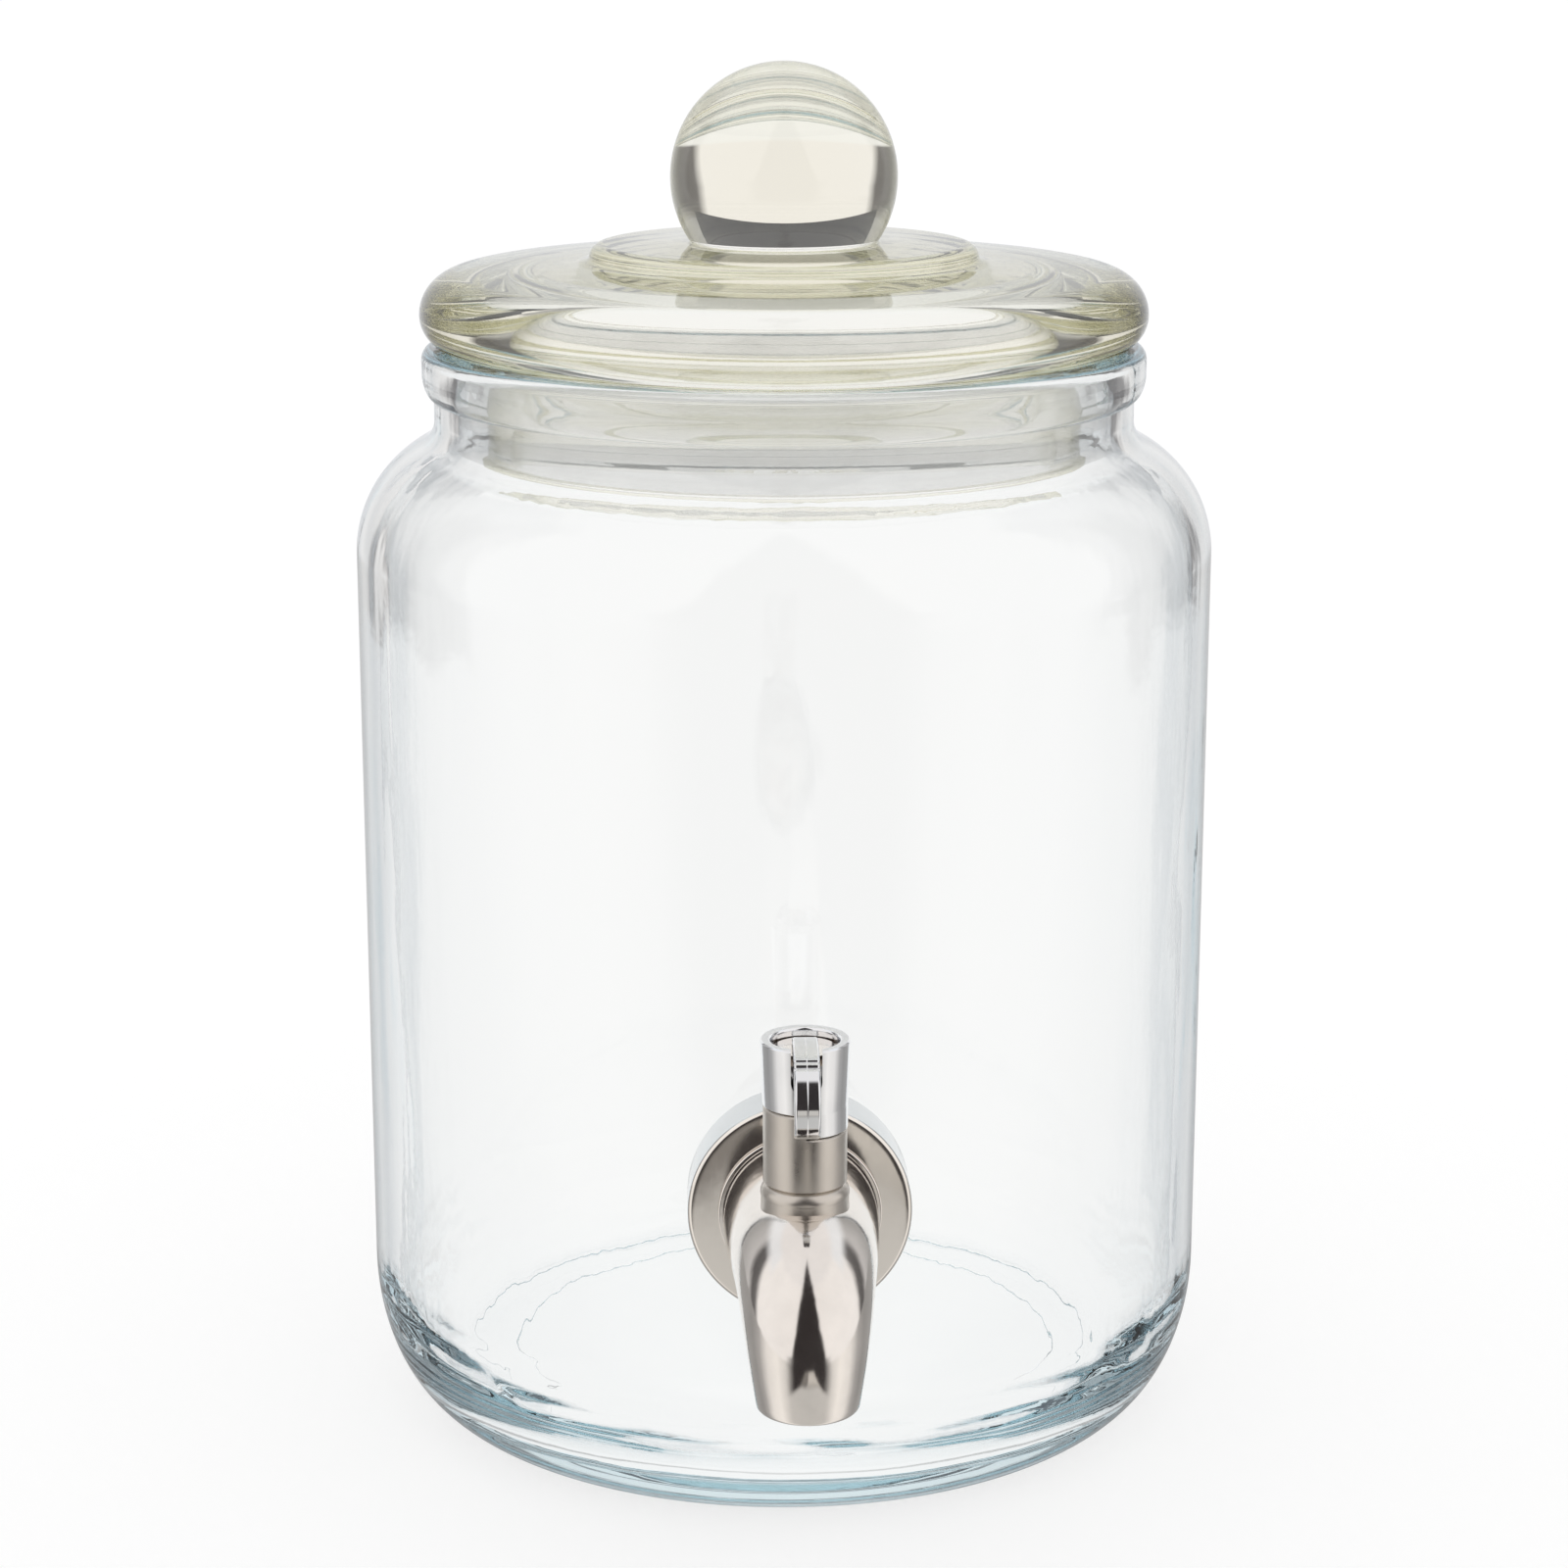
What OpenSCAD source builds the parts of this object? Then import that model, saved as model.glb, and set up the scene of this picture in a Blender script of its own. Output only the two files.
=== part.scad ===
// Glass dispenser jar with a lift-off glass lid and a quarter-turn steel tap.
// Z is the jar's axis, z = 0 is the face it stands on, and the tap points to -Y.

/* [Jar] */
// Outside diameter of the jar body
jar_d = 150; // [142:1:158]
// Height of the jar from its foot to the top of its rim
jar_h = 191; // [175:1:215]
// Thickness of the glass in the body, shoulder and neck
glass_t = 4; // [3.4:0.1:4.4]
// Outside diameter of the neck
neck_d = 122; // [119:0.5:124]
// How far the rim bead stands out from the neck
bead_out = 2; // [1:0.1:3]
// Height of the rim bead
bead_h = 8.5; // [7:0.5:10]
// Straight height of the neck between the bead and the shoulder
neck_h = 4.1; // [3:0.1:6]
// Radius of the shoulder
shoulder_r = 21; // [19:0.5:24]
// Radius of the hollow blend between shoulder and neck
shoulder_blend_r = 4.8; // [4:0.1:6]
// Width of the rounded bottom corner
corner_w = 15; // [12:0.5:16]
// Height of the rounded bottom corner
corner_h = 26; // [22:0.5:30]
// Thickness of the glass floor above the raised base
floor_t = 5.75; // [3.5:0.25:6.5]
// Height of the raised base over the standing ring
kick_h = 1.8; // [1.2:0.1:3.5]
// Diameter of the raised base
kick_d = 99; // [90:1:106]
// Width of the standing ring
foot_w = 3.6; // [2.5:0.1:4.5]

/* [Lid] */
// How far the lid's edge stands out past the rim bead
lid_over = 0.2; // [0:0.1:1]
// Height of the edge's lower rounding
edge_low = 5.6; // [4.5:0.1:6.5]
// Radius of the edge's upper rounding
edge_top = 7.3; // [6:0.1:8]
// Rise of the lid's top from its edge to the raised middle
crown_h = 1.3; // [0.6:0.1:2.5]
// Diameter of the raised middle at its foot
plateau_d = 67.4; // [62:0.5:72]
// Height of the raised middle
plateau_h = 3.3; // [2.5:0.1:4.5]
// Diameter of the ball knob
knob_d = 39.3; // [34:0.5:44]
// How far the ball knob sinks into the raised middle
knob_sink = 8.4; // [7:0.1:9.5]
// Diameter of the short neck under the ball
knob_neck_d = 32; // [28:0.5:33]
// Depth of the plug below the lid's seat
plug_depth = 22; // [19:0.5:25]
// Thickness of the plug's wall
plug_t = 4.2; // [3.6:0.1:5]
// Thickness of the glass over the plug's hollow
roof_t = 6; // [5:0.25:7]

/* [Lid seal] */
// Thickness of the seal's sleeve
sleeve_t = 2.2; // [1.6:0.1:2.6]
// Number of sealing lips
lip_count = 3; // [2:1:4]
// Thickness of a lip at its rim
lip_t = 0.9; // [0.7:0.1:1.4]
// Gap between a lip and the neck, and between the plug's lip and the sleeve
seal_gap = 0.15; // [0.1:0.05:0.3]

/* [Tap] */
// Height of the tap's horizontal axis over the foot
tap_z = 62.3; // [58:0.5:80]
// Distance from the jar's wall to the axis of the valve
reach = 31; // [29:0.5:35]
// Diameter of the threaded shank
shank_d = 15.8; // [14:0.2:16]
// Gap between the shank and the hole in the glass
hole_gap = 0.6; // [0.3:0.1:1]
// Length of the shank inside the jar
shank_in = 19; // [17:0.5:24]
// Bore of the shank
inlet_d = 9.2; // [7:0.1:9.6]
// Diameter of the escutcheon
escutcheon_d = 36.2; // [33:0.5:40]
// Depth of the escutcheon from its front to the glass
escutcheon_h = 10; // [9:0.5:12]
// Wall of the escutcheon
escutcheon_t = 1; // [0.8:0.1:1.4]
// Fall of the escutcheon's face from the collar out to its edge
escutcheon_fall = 0.35; // [0:0.05:0.6]
// Diameter of the collar in front of the escutcheon
collar_d = 26.4; // [25.6:0.2:28]
// Thickness of that collar
collar_t = 0.9; // [0.6:0.1:1.4]
// Diameter of the spout where it leaves the collar
horn_d = 25; // [24:0.2:25.4]
// Diameter of the spout at its mouth
mouth_d = 15.8; // [15:0.2:17]
// Distance from the valve's axis to the axis of the mouth
spout_out = 14; // [13:0.5:16]
// Straight end of the spout below its bend
mouth_h = 4.1; // [3:0.1:5]
// Bore of the spout at its mouth
mouth_bore_d = 12; // [10.8:0.1:12.4]
// Outside diameter of the valve barrel
barrel_d = 13; // [12.6:0.1:14]
// Height of the barrel over the tap's axis
barrel_h = 22.1; // [20:0.1:26]
// Height of the stop that stands on the barrel
stop_h = 3.6; // [2.4:0.1:4.5]
// Bore of the barrel
chamber_d = 10.1; // [9.6:0.1:10.4]

/* [Valve and handle] */
// Angle that the handle turns through, in degrees
turn = 90; // [60:5:100]
// Running gap between the rotor and the barrel
run_gap = 0.05; // [0.03:0.01:0.08]
// Gap between faces that turn past each other
face_gap = 0.2; // [0.15:0.05:0.3]
// Diameter of the rotor's port
port_d = 7; // [5:0.1:7.4]
// Diameter of the rotor's stem
stem_d = 7; // [6:0.1:7.4]
// Diameter of a seal ring's cord
ring_cord = 1.4; // [1.2:0.05:1.5]
// Height of the handle cap over the stop
cap_h = 10.7; // [10:0.1:12]
// Diameter of the cap at its top
cap_d = 13.9; // [13.4:0.1:14.6]
// Bore of the cap
cap_bore_d = 10.6; // [10.4:0.1:11]
// Depth of the rotor's head below the cap's top
head_drop = 1.4; // [1:0.1:2]
// Width of the lever
lever_w = 4; // [3:0.1:4.4]
// Gap on each side of the lever in the cap's slot
slot_gap = 0.4; // [0.2:0.05:0.6]
// Depth of the slot in the cap
slot_h = 7.4; // [6.5:0.1:8]
// Distance from the valve's axis to the lever's front
lever_out = 12.6; // [11:0.1:14]
// Drop of the lever's tip below the cap's top
lever_drop = 13.5; // [12.5:0.1:15]
// Radius of the lever's curl
lever_curl_r = 6; // [5.6:0.1:6.4]
// Diameter of the pin through rotor and lever
pin_d = 1.6; // [1.2:0.1:2]

/* [Shank fittings] */
// Thickness of the outer seal behind the escutcheon, at its middle
outer_seal_t = 4; // [3:0.1:5]
// Diameter of the inner seal and its backing washer
inner_seal_d = 25; // [23:0.5:27]
// Thickness of the inner seal at its middle
inner_seal_t = 3; // [2.4:0.1:3.6]
// Thickness of the backing washer
backing_t = 1.2; // [0.8:0.1:1.6]
// Lock nut, width across its flats
nut_af = 22; // [20:0.5:24]
// Lock nut, height
nut_h = 6; // [5:0.5:8]
// Gap between the shank and what is threaded on it
thread_gap = 0.05; // [0.03:0.01:0.1]

/* [Hidden] */
$fn = 96;

jar_r = jar_d / 2;
bore_r = jar_r - glass_t;
neck_r = neck_d / 2;
mouth_r = neck_r - glass_t;
rim_r = neck_r + bead_out;
neck_low = jar_h - bead_h - neck_h;
shoulder_in = neck_r + shoulder_blend_r - (jar_r - shoulder_r);
shoulder_rise = sqrt(pow(shoulder_r + shoulder_blend_r, 2) - pow(shoulder_in, 2));
shoulder_z = neck_low - shoulder_rise;
shoulder_a = atan2(shoulder_rise, shoulder_in);
foot_r = jar_r - corner_w;
floor_z = kick_h + floor_t;
floor_corner_w = corner_w - 1;
floor_corner_h = corner_h - floor_z + 2;

lid_r = rim_r + lid_over;
crown_z = jar_h + edge_low + edge_top;
plateau_r = plateau_d / 2;
plateau_z = crown_z + crown_h + plateau_h;
riser_w = 2.6;
roof_z = crown_z + crown_h - roof_t;
lip_reach = 3;
plug_r = mouth_r - seal_gap - sleeve_t - lip_reach;
plug_in_r = plug_r - plug_t;
plug_z = jar_h - plug_depth;
plug_lip_h = 2.4;
plug_lip_out = 1.2;
knob_z = plateau_z + knob_d / 2 - knob_sink;

seal_top = jar_h - 2;
seal_low = plug_z + plug_lip_h + 0.1;

seat_gap = 0.02;
shank_r = shank_d / 2;
hole_r = shank_r + hole_gap;
valve_y = jar_r + reach;
front_y = jar_r + escutcheon_h;
collar_r = collar_d / 2;
boss_r = collar_r - 0.9;
boss_y = jar_r + outer_seal_t;
horn_y = front_y + collar_t;
horn_run = valve_y - horn_y;
horn_bend = spout_out * PI / 2;
horn_len = horn_run + horn_bend + mouth_h;
mouth_y = valve_y + spout_out;
mouth_z = tap_z - spout_out - mouth_h;
barrel_r = barrel_d / 2;
barrel_z = tap_z + barrel_h;
stop_z = barrel_z + stop_h;
stop_arc = (360 - turn) / 2;
stop_slack = 0.6;
chamber_r = chamber_d / 2;
chamber_z = tap_z - 8.3;
clip_t = 0.7;
clip_gap = 0.05;
clip_z = barrel_z - 7.4;
clip_groove_r = chamber_r + 0.55;
clip_r = clip_groove_r - clip_gap;

rotor_r = chamber_r - run_gap;
thrust_t = 0.6;
rotor_z = chamber_z + thrust_t;
rotor_top = clip_z - 0.1;
stem_r = stem_d / 2;
groove_h = ring_cord + 0.6;
groove_r = rotor_r - ring_cord - 0.08;
ring_r = rotor_r - 0.03 - ring_cord / 2;
ring_up = port_d / 2 + 5.5;
ring_down = port_d / 2 + 2.1;
cap_z = stop_z + face_gap;
cap_top = stop_z + cap_h;
cap_r = cap_d / 2;
cap_low_r = barrel_r + 0.1;
skirt_z = barrel_z + face_gap;
cap_bore_r = cap_bore_d / 2;
head_r = cap_bore_r - 0.45;
head_z = cap_top - head_drop;
lever_top = cap_top - 0.15;
lever_back = 1.1;
slot_z = cap_top - slot_h;
slot_r = lever_w / 2 + slot_gap;
lever_low_z = slot_z + slot_r - sqrt(slot_r * slot_r - lever_w * lever_w / 4) + slot_gap / 2;
tenon_z = head_z - 4.2;
curl_z = cap_top - lever_drop + lever_curl_r - 0.15;
pin_y = 2.6;
pin_z = head_z - 2.3;

// Points on an arc, or on a quarter of an oval, between two angles
function arc(x, z, rx, rz, a0, a1, n = 12) =
    [for (i = [0:n]) let (a = a0 + (a1 - a0) * i / n) [x + rx * cos(a), z + rz * sin(a)]];

// Frame of the horizontal tap axis: local z points out of the jar, local y is up
module on_tap() {
    translate([0, 0, tap_z]) rotate([90, 0, 0]) children();
}

// Frame of the vertical valve axis, at the height of the tap's axis
module on_valve() {
    translate([0, -valve_y, 0]) children();
}

// A round post or hole on the current z axis, between two heights
module post(r, z0, z1, r2 = undef) {
    translate([0, 0, z0]) cylinder(r1 = r, r2 = is_undef(r2) ? r : r2, h = z1 - z0);
}

// A ring on the current z axis, between two heights
module ring(r_in, r_out, z0, z1) {
    difference() {
        post(r_out, z0, z1);
        post(r_in, z0 - 1, z1 + 1);
    }
}

// A part of a ring that covers the angles from a0 to a1
module ring_sector(r_in, r_out, z0, z1, a0, a1) {
    rotate([0, 0, a0])
        rotate_extrude(angle = a1 - a0)
            translate([r_in, z0]) square([r_out - r_in, z1 - z0]);
}

// Soft step of the underside, from the raised base out and down to the standing ring
function kick_edge(r0, r1, n = 10) =
    [for (i = [0:n]) [r0 + (r1 - r0) * i / n, kick_h * (1 + cos(180 * i / n)) / 2]];

// Half section of the jar, from the middle of its underside round to the middle of its floor
function jar_section() = concat(
    [[0, kick_h]],
    kick_edge(kick_d / 2, foot_r - foot_w),
    arc(jar_r - corner_w, corner_h, corner_w, corner_h, 270, 360, 20),
    arc(jar_r - shoulder_r, shoulder_z, shoulder_r, shoulder_r, 0, shoulder_a, 14),
    arc(neck_r + shoulder_blend_r, neck_low, shoulder_blend_r, shoulder_blend_r, 180 + shoulder_a, 180, 8),
    arc(neck_r, jar_h - bead_h / 2, bead_out, bead_h / 2, 270, 360, 8),
    arc(rim_r - bead_out, jar_h - bead_out, bead_out, bead_out, 0, 90, 8),
    arc(mouth_r + 1.5, jar_h - 1.5, 1.5, 1.5, 90, 180, 6),
    arc(neck_r + shoulder_blend_r, neck_low, shoulder_blend_r + glass_t, shoulder_blend_r + glass_t,
        180, 180 + shoulder_a, 8),
    arc(jar_r - shoulder_r, shoulder_z, shoulder_r - glass_t, shoulder_r - glass_t, shoulder_a, 0, 14),
    arc(bore_r - floor_corner_w, floor_z + floor_corner_h, floor_corner_w, floor_corner_h, 0, -90, 16),
    [[0, floor_z]]
);

module glass_jar() {
    color([0.80, 0.90, 0.93, 0.35])
    difference() {
        rotate_extrude($fn = 180) polygon(jar_section());
        on_tap() post(hole_r, bore_r - 10, jar_r + 5);
    }
}

// Half section of the lid without its ball, from the middle of its hollow round to its top
function lid_section() = concat(
    [[0, roof_z]],
    arc(plug_in_r - 5, roof_z - 5, 5, 5, 90, 0, 8),
    arc(plug_r + plug_lip_out - 1.2, plug_z + 1.2, 1.2, 1.2, 270, 360, 6),
    [[plug_r + plug_lip_out, plug_z + plug_lip_h], [plug_r, plug_z + plug_lip_h]],
    [[plug_r, jar_h]],
    arc(lid_r - edge_low, jar_h + edge_low, edge_low, edge_low, 270, 360, 12),
    arc(lid_r - edge_top, jar_h + edge_low, edge_top, edge_top, 0, 86, 14),
    arc(plateau_r + riser_w, crown_z + crown_h + riser_w / 2, riser_w, riser_w / 2, 270, 180, 6),
    arc(plateau_r - riser_w, plateau_z - riser_w / 1.4, riser_w, riser_w / 1.4, 0, 90, 8),
    arc(knob_neck_d / 2 + 1, plateau_z + 1, 1, 1, 270, 180, 6),
    [[knob_neck_d / 2, plateau_z + 3], [0, plateau_z + 3]]
);

module glass_lid() {
    color([0.86, 0.88, 0.76, 0.45])
    union() {
        rotate_extrude($fn = 180) polygon(lid_section());
        translate([0, 0, knob_z]) sphere(d = knob_d);
    }
}

module lid_seal_ring() {
    sleeve_r = plug_r + sleeve_t;
    lip_r = mouth_r - seal_gap;
    lip_step = (seal_top - seal_low - 4) / (lip_count - 1);
    color([0.93, 0.95, 0.92, 0.8])
    rotate_extrude($fn = 180)
        difference() {
            union() {
                translate([plug_r + seat_gap, seal_low]) square([sleeve_t, seal_top - seal_low]);
                for (i = [0:lip_count - 1])
                    translate([sleeve_r - 0.4, seal_low + i * lip_step])
                        polygon([[0, 0], [lip_r - sleeve_r + 0.4, 1.8], [lip_r - sleeve_r + 0.4, 1.8 + lip_t], [0, 4]]);
            }
            translate([plug_r - 5, seal_low - 1]) square([5, seal_top - seal_low + 2]);
        }
}

// The curved spout is a stack of rings of points, each square to the spout's middle line.
// The line runs straight under the valve, turns down through a quarter bend and ends in a short drop.
horn_sides = 32;
horn_power = 1.75;
mouth_round = 0.7;
bend_steps = 12;
bend_stations = [for (i = [0:bend_steps]) horn_run + horn_bend * i / bend_steps];

// Place on the middle line at distance s from the collar: distance out, height, angle turned
function station(s) =
    s <= horn_run ? [horn_y + s, tap_z, 0]
    : s <= horn_run + horn_bend
    ? let (t = (s - horn_run) / spout_out * 180 / PI)
        [valve_y + spout_out * sin(t), tap_z - spout_out * (1 - cos(t)), t]
    : [mouth_y, tap_z - spout_out - (s - horn_run - horn_bend), 90];

function horn_ring(s, r) = let (p = station(s))
    [for (k = [0:horn_sides - 1]) let (a = 360 * k / horn_sides)
        [r * cos(a), -p[0] - r * sin(a) * sin(p[2]), p[1] + r * sin(a) * cos(p[2])]];

function horn_r(s) = horn_d / 2 - (horn_d - mouth_d) / 2 * pow(max(s, 0) / horn_len, horn_power);

// Skin over a stack of rings, closed at both ends
module lofted(rings) {
    n = horn_sides;
    rows = len(rings);
    polyhedron(
        points = [for (row = rings) each row],
        faces = concat(
            [[for (k = [0:n - 1]) k]],
            [for (i = [0:rows - 2]) for (k = [0:n - 1])
                [i * n + k, (i + 1) * n + k, (i + 1) * n + (k + 1) % n, i * n + (k + 1) % n]],
            [[for (k = [0:n - 1]) (rows - 1) * n + n - 1 - k]]
        )
    );
}

module horn() {
    lofted(concat(
        [for (s = concat([-collar_t / 2, horn_run / 2], bend_stations)) horn_ring(s, horn_r(s))],
        [for (e = [[1, 0], [0.3, 0.3], [0, 1]])
            horn_ring(horn_len - e[0] * mouth_round, mouth_d / 2 - e[1] * mouth_round)]
    ));
}

// Waterway from the valve chamber down to the mouth
module spout_way() {
    widen = (mouth_bore_d - inlet_d) / 2 / (horn_len - horn_run);
    lofted([for (s = concat(bend_stations, [horn_len + 1]))
        horn_ring(s, inlet_d / 2 + widen * (s - horn_run))]);
}

// Cast steel body: threaded shank, boss, collar, curved spout and the valve barrel with its stop
module spigot_body() {
    roll = 1.7;
    roll_out = 0.4;
    roll_z = tap_z + horn_d / 2 - 0.8;
    color([0.74, 0.71, 0.68])
    difference() {
        union() {
            on_tap() post(shank_r, bore_r - shank_in, boss_y + 1);
            on_tap() post(boss_r, boss_y, front_y + 0.1);
            on_tap() post(collar_r, front_y, horn_y);
            horn();
            on_valve() post(barrel_r, tap_z, barrel_z);
            on_valve() ring_sector(barrel_r - 2, barrel_r, barrel_z - 1, stop_z, 270 - stop_arc, 270 - stop_slack);
            on_valve() post(barrel_r + roll_out, roll_z - 3, roll_z);
            on_valve() translate([0, 0, roll_z])
                rotate_extrude() translate([barrel_r + roll_out - roll, 0]) circle(r = roll);
        }
        on_tap() post(inlet_d / 2, bore_r - shank_in - 1, valve_y);
        on_valve() post(chamber_r, chamber_z, stop_z + 1);
        on_valve() post(clip_groove_r, clip_z - clip_gap, clip_z + clip_t + clip_gap);
        spout_way();
    }
}

module escutcheon() {
    r = escutcheon_d / 2;
    edge = 0.8;
    color([0.78, 0.74, 0.70])
    on_tap()
        rotate_extrude()
            polygon(concat(
                [[boss_r + seat_gap, front_y], [boss_r + seat_gap, front_y - escutcheon_fall - escutcheon_t]],
                [[r - escutcheon_t, front_y - escutcheon_fall - escutcheon_t]],
                [[r - escutcheon_t, jar_r + face_gap], [r, jar_r + face_gap]],
                arc(r - edge, front_y - escutcheon_fall - edge, edge, edge, 0, 85, 6),
                [for (i = [3:-1:0]) let (t = i / 4)
                    [collar_r + (r - edge - collar_r) * t, front_y - escutcheon_fall * t * t]]));
}

// Soft washer behind the escutcheon, cut on its back to the round of the jar
module outer_seal() {
    color([0.88, 0.90, 0.88, 0.9])
    difference() {
        on_tap() ring(shank_r + hole_gap, escutcheon_d / 2 - escutcheon_t - 0.15, jar_r - 6, boss_y);
        translate([0, 0, tap_z - escutcheon_d]) cylinder(r = jar_r + seat_gap, h = 2 * escutcheon_d, $fn = 180);
    }
}

// Soft washer inside the jar, round on the side that lies on the glass
module inner_seal() {
    color([0.88, 0.90, 0.88, 0.9])
    intersection() {
        on_tap() ring(shank_r + hole_gap, inner_seal_d / 2, bore_r - inner_seal_t, jar_r);
        translate([0, 0, tap_z - inner_seal_d]) cylinder(r = bore_r - seat_gap, h = 2 * inner_seal_d, $fn = 180);
    }
}

module backing_washer() {
    face = bore_r - inner_seal_t;
    color([0.76, 0.76, 0.76])
    on_tap() ring(shank_r + 0.2, inner_seal_d / 2, face - backing_t, face);
}

module lock_nut() {
    face = bore_r - inner_seal_t - backing_t;
    chamfer = 1;
    tip_r = nut_af / 2 / cos(30);
    color([0.76, 0.75, 0.73])
    on_tap()
        difference() {
            intersection() {
                translate([0, 0, face - nut_h]) cylinder(r = tip_r, h = nut_h, $fn = 6);
                post(tip_r - chamfer, face - nut_h, face + nut_h, tip_r - chamfer + nut_h * 3.4);
                post(tip_r - chamfer + nut_h * 3.4, face - 2 * nut_h, face, tip_r - chamfer);
            }
            post(shank_r + thread_gap, face - nut_h - 1, face + 1);
        }
}

// Turning plug of the valve: a cross port, two ring grooves, a stem and a slotted head for the lever
module valve_rotor() {
    color([0.72, 0.69, 0.66])
    on_valve()
        difference() {
            union() {
                post(rotor_r, rotor_z, rotor_top);
                post(stem_r, rotor_top - 1, cap_z + 1);
                post(cap_bore_r - seat_gap, cap_z + 1, head_z - 1.5);
                post(head_r, head_z - 2, head_z);
            }
            translate([-chamber_d, 0, tap_z]) rotate([0, 90, 0]) cylinder(d = port_d, h = 2 * chamber_d);
            ring(groove_r, rotor_r + 1, tap_z + ring_up - groove_h / 2, tap_z + ring_up + groove_h / 2);
            ring(groove_r, rotor_r + 1, tap_z - ring_down - groove_h / 2, tap_z - ring_down + groove_h / 2);
            translate([-lever_w / 2 - 0.05, -chamber_d, tenon_z - 0.05])
                cube([lever_w + 0.1, chamber_d + lever_back + 0.05, chamber_d]);
            translate([-chamber_d, -pin_y, pin_z]) rotate([0, 90, 0]) cylinder(d = pin_d + 0.04, h = 2 * chamber_d);
        }
}

module seal_cord(z) {
    on_valve() translate([0, 0, z]) rotate_extrude() translate([ring_r, 0]) circle(d = ring_cord);
}

module rotor_ring_upper() {
    color([0.15, 0.15, 0.15]) seal_cord(tap_z + ring_up);
}

module rotor_ring_lower() {
    color([0.15, 0.15, 0.15]) seal_cord(tap_z - ring_down);
}

module thrust_washer() {
    color([0.95, 0.95, 0.93])
    on_valve() ring(stem_r, chamber_r - 0.1, chamber_z, chamber_z + thrust_t);
}

// Open spring clip in the barrel's groove, over the shoulder of the rotor
module retaining_clip() {
    color([0.6, 0.6, 0.6])
    on_valve() ring_sector(stem_r + 0.35, clip_r, clip_z, clip_z + clip_t, -60, 240);
}

// Plated cap with a slot for the lever and a skirt that runs against the barrel's stop
module handle_cap() {
    inner_edge = 0.5;
    outer_edge = 0.25;
    color([0.86, 0.87, 0.88])
    on_valve()
        difference() {
            union() {
                rotate_extrude()
                    polygon(concat(
                        [[cap_bore_r, cap_z], [cap_low_r, cap_z], [cap_r, cap_top - outer_edge]],
                        [[cap_r - outer_edge, cap_top]],
                        arc(cap_bore_r + inner_edge, cap_top - inner_edge, inner_edge, inner_edge, 90, 180, 6)));
                ring_sector(cap_bore_r, cap_low_r, skirt_z, cap_z + 1, 270 + stop_slack, 270 + stop_arc - stop_slack);
            }
            translate([0, 0, slot_z + slot_r]) {
                rotate([90, 0, 0]) cylinder(r = slot_r, h = cap_d);
                translate([-slot_r, -cap_d, 0]) cube([2 * slot_r, cap_d, slot_h]);
            }
        }
}

// Side view of the lever: a blade that slopes out of the cap, steps down twice and curls round an arc
function lever_section() = concat(
    [[-lever_back, tenon_z], [-lever_back, lever_top], [stem_r, lever_top]],
    [[lever_out - 5.6, lever_top - 1.05], [lever_out - 5.5, lever_top - 1.35]],
    [[lever_out - 4.6, lever_top - 1.5], [lever_out - 4.5, lever_top - 1.95]],
    arc(lever_out - lever_curl_r, curl_z, lever_curl_r, lever_curl_r, 66, -62, 24),
    arc(lever_out - 4.2, cap_top - lever_drop + 1.1, 0.9, 0.9, -70, -200, 6),
    arc(lever_out - 7.2, slot_z - 2.4, 3, 2.4 + slot_gap / 2, -10, 60, 8),
    [[cap_r, lever_low_z], [cap_bore_r + 0.1, lever_low_z], [cap_bore_r + 0.1, tenon_z]]
);

module lever() {
    color([0.86, 0.87, 0.88])
    on_valve()
        difference() {
            rotate([90, 0, -90]) translate([0, 0, -lever_w / 2])
                linear_extrude(lever_w) polygon(lever_section());
            translate([-lever_w, -pin_y, pin_z]) rotate([0, 90, 0]) cylinder(d = pin_d + 0.04, h = 2 * lever_w);
        }
}

module lever_pin() {
    length = 2 * sqrt(pow(cap_bore_r, 2) - pow(pin_y + pin_d / 2, 2)) - 0.3;
    color([0.6, 0.6, 0.6])
    on_valve() translate([-length / 2, -pin_y, pin_z]) rotate([0, 90, 0]) cylinder(d = pin_d, h = length);
}

glass_jar();
glass_lid();
lid_seal_ring();
spigot_body();
escutcheon();
outer_seal();
inner_seal();
backing_washer();
lock_nut();
valve_rotor();
rotor_ring_upper();
rotor_ring_lower();
thrust_washer();
retaining_clip();
handle_cap();
lever();
lever_pin();
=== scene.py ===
"""Looks for the glass dispenser jar: detailed glass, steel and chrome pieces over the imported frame.

Sizes and outlines are in millimetres, follow the CAD source, and are turned into metres when a mesh is
made. Materials, floor, card and camera are in metres. +Z is up, and the tap points along -Y, towards
the camera. BASE_STEP, PLATE_FALL and CAP_LIFT differ from the solids for the sake of the picture.
"""

import math

import bmesh
import bpy
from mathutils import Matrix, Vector, noise


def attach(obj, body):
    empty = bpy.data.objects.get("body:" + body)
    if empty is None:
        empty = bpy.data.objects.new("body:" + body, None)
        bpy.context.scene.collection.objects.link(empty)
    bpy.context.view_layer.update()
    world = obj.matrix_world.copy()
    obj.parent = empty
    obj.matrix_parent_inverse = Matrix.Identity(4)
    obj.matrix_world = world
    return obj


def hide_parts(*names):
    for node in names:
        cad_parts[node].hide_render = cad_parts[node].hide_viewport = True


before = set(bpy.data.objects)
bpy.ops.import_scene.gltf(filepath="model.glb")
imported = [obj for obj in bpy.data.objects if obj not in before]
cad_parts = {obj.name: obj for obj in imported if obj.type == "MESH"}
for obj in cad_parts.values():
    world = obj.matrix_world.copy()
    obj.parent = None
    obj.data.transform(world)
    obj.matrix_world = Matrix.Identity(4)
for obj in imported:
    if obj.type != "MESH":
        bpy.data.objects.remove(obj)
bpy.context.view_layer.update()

MM = 0.001

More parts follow.
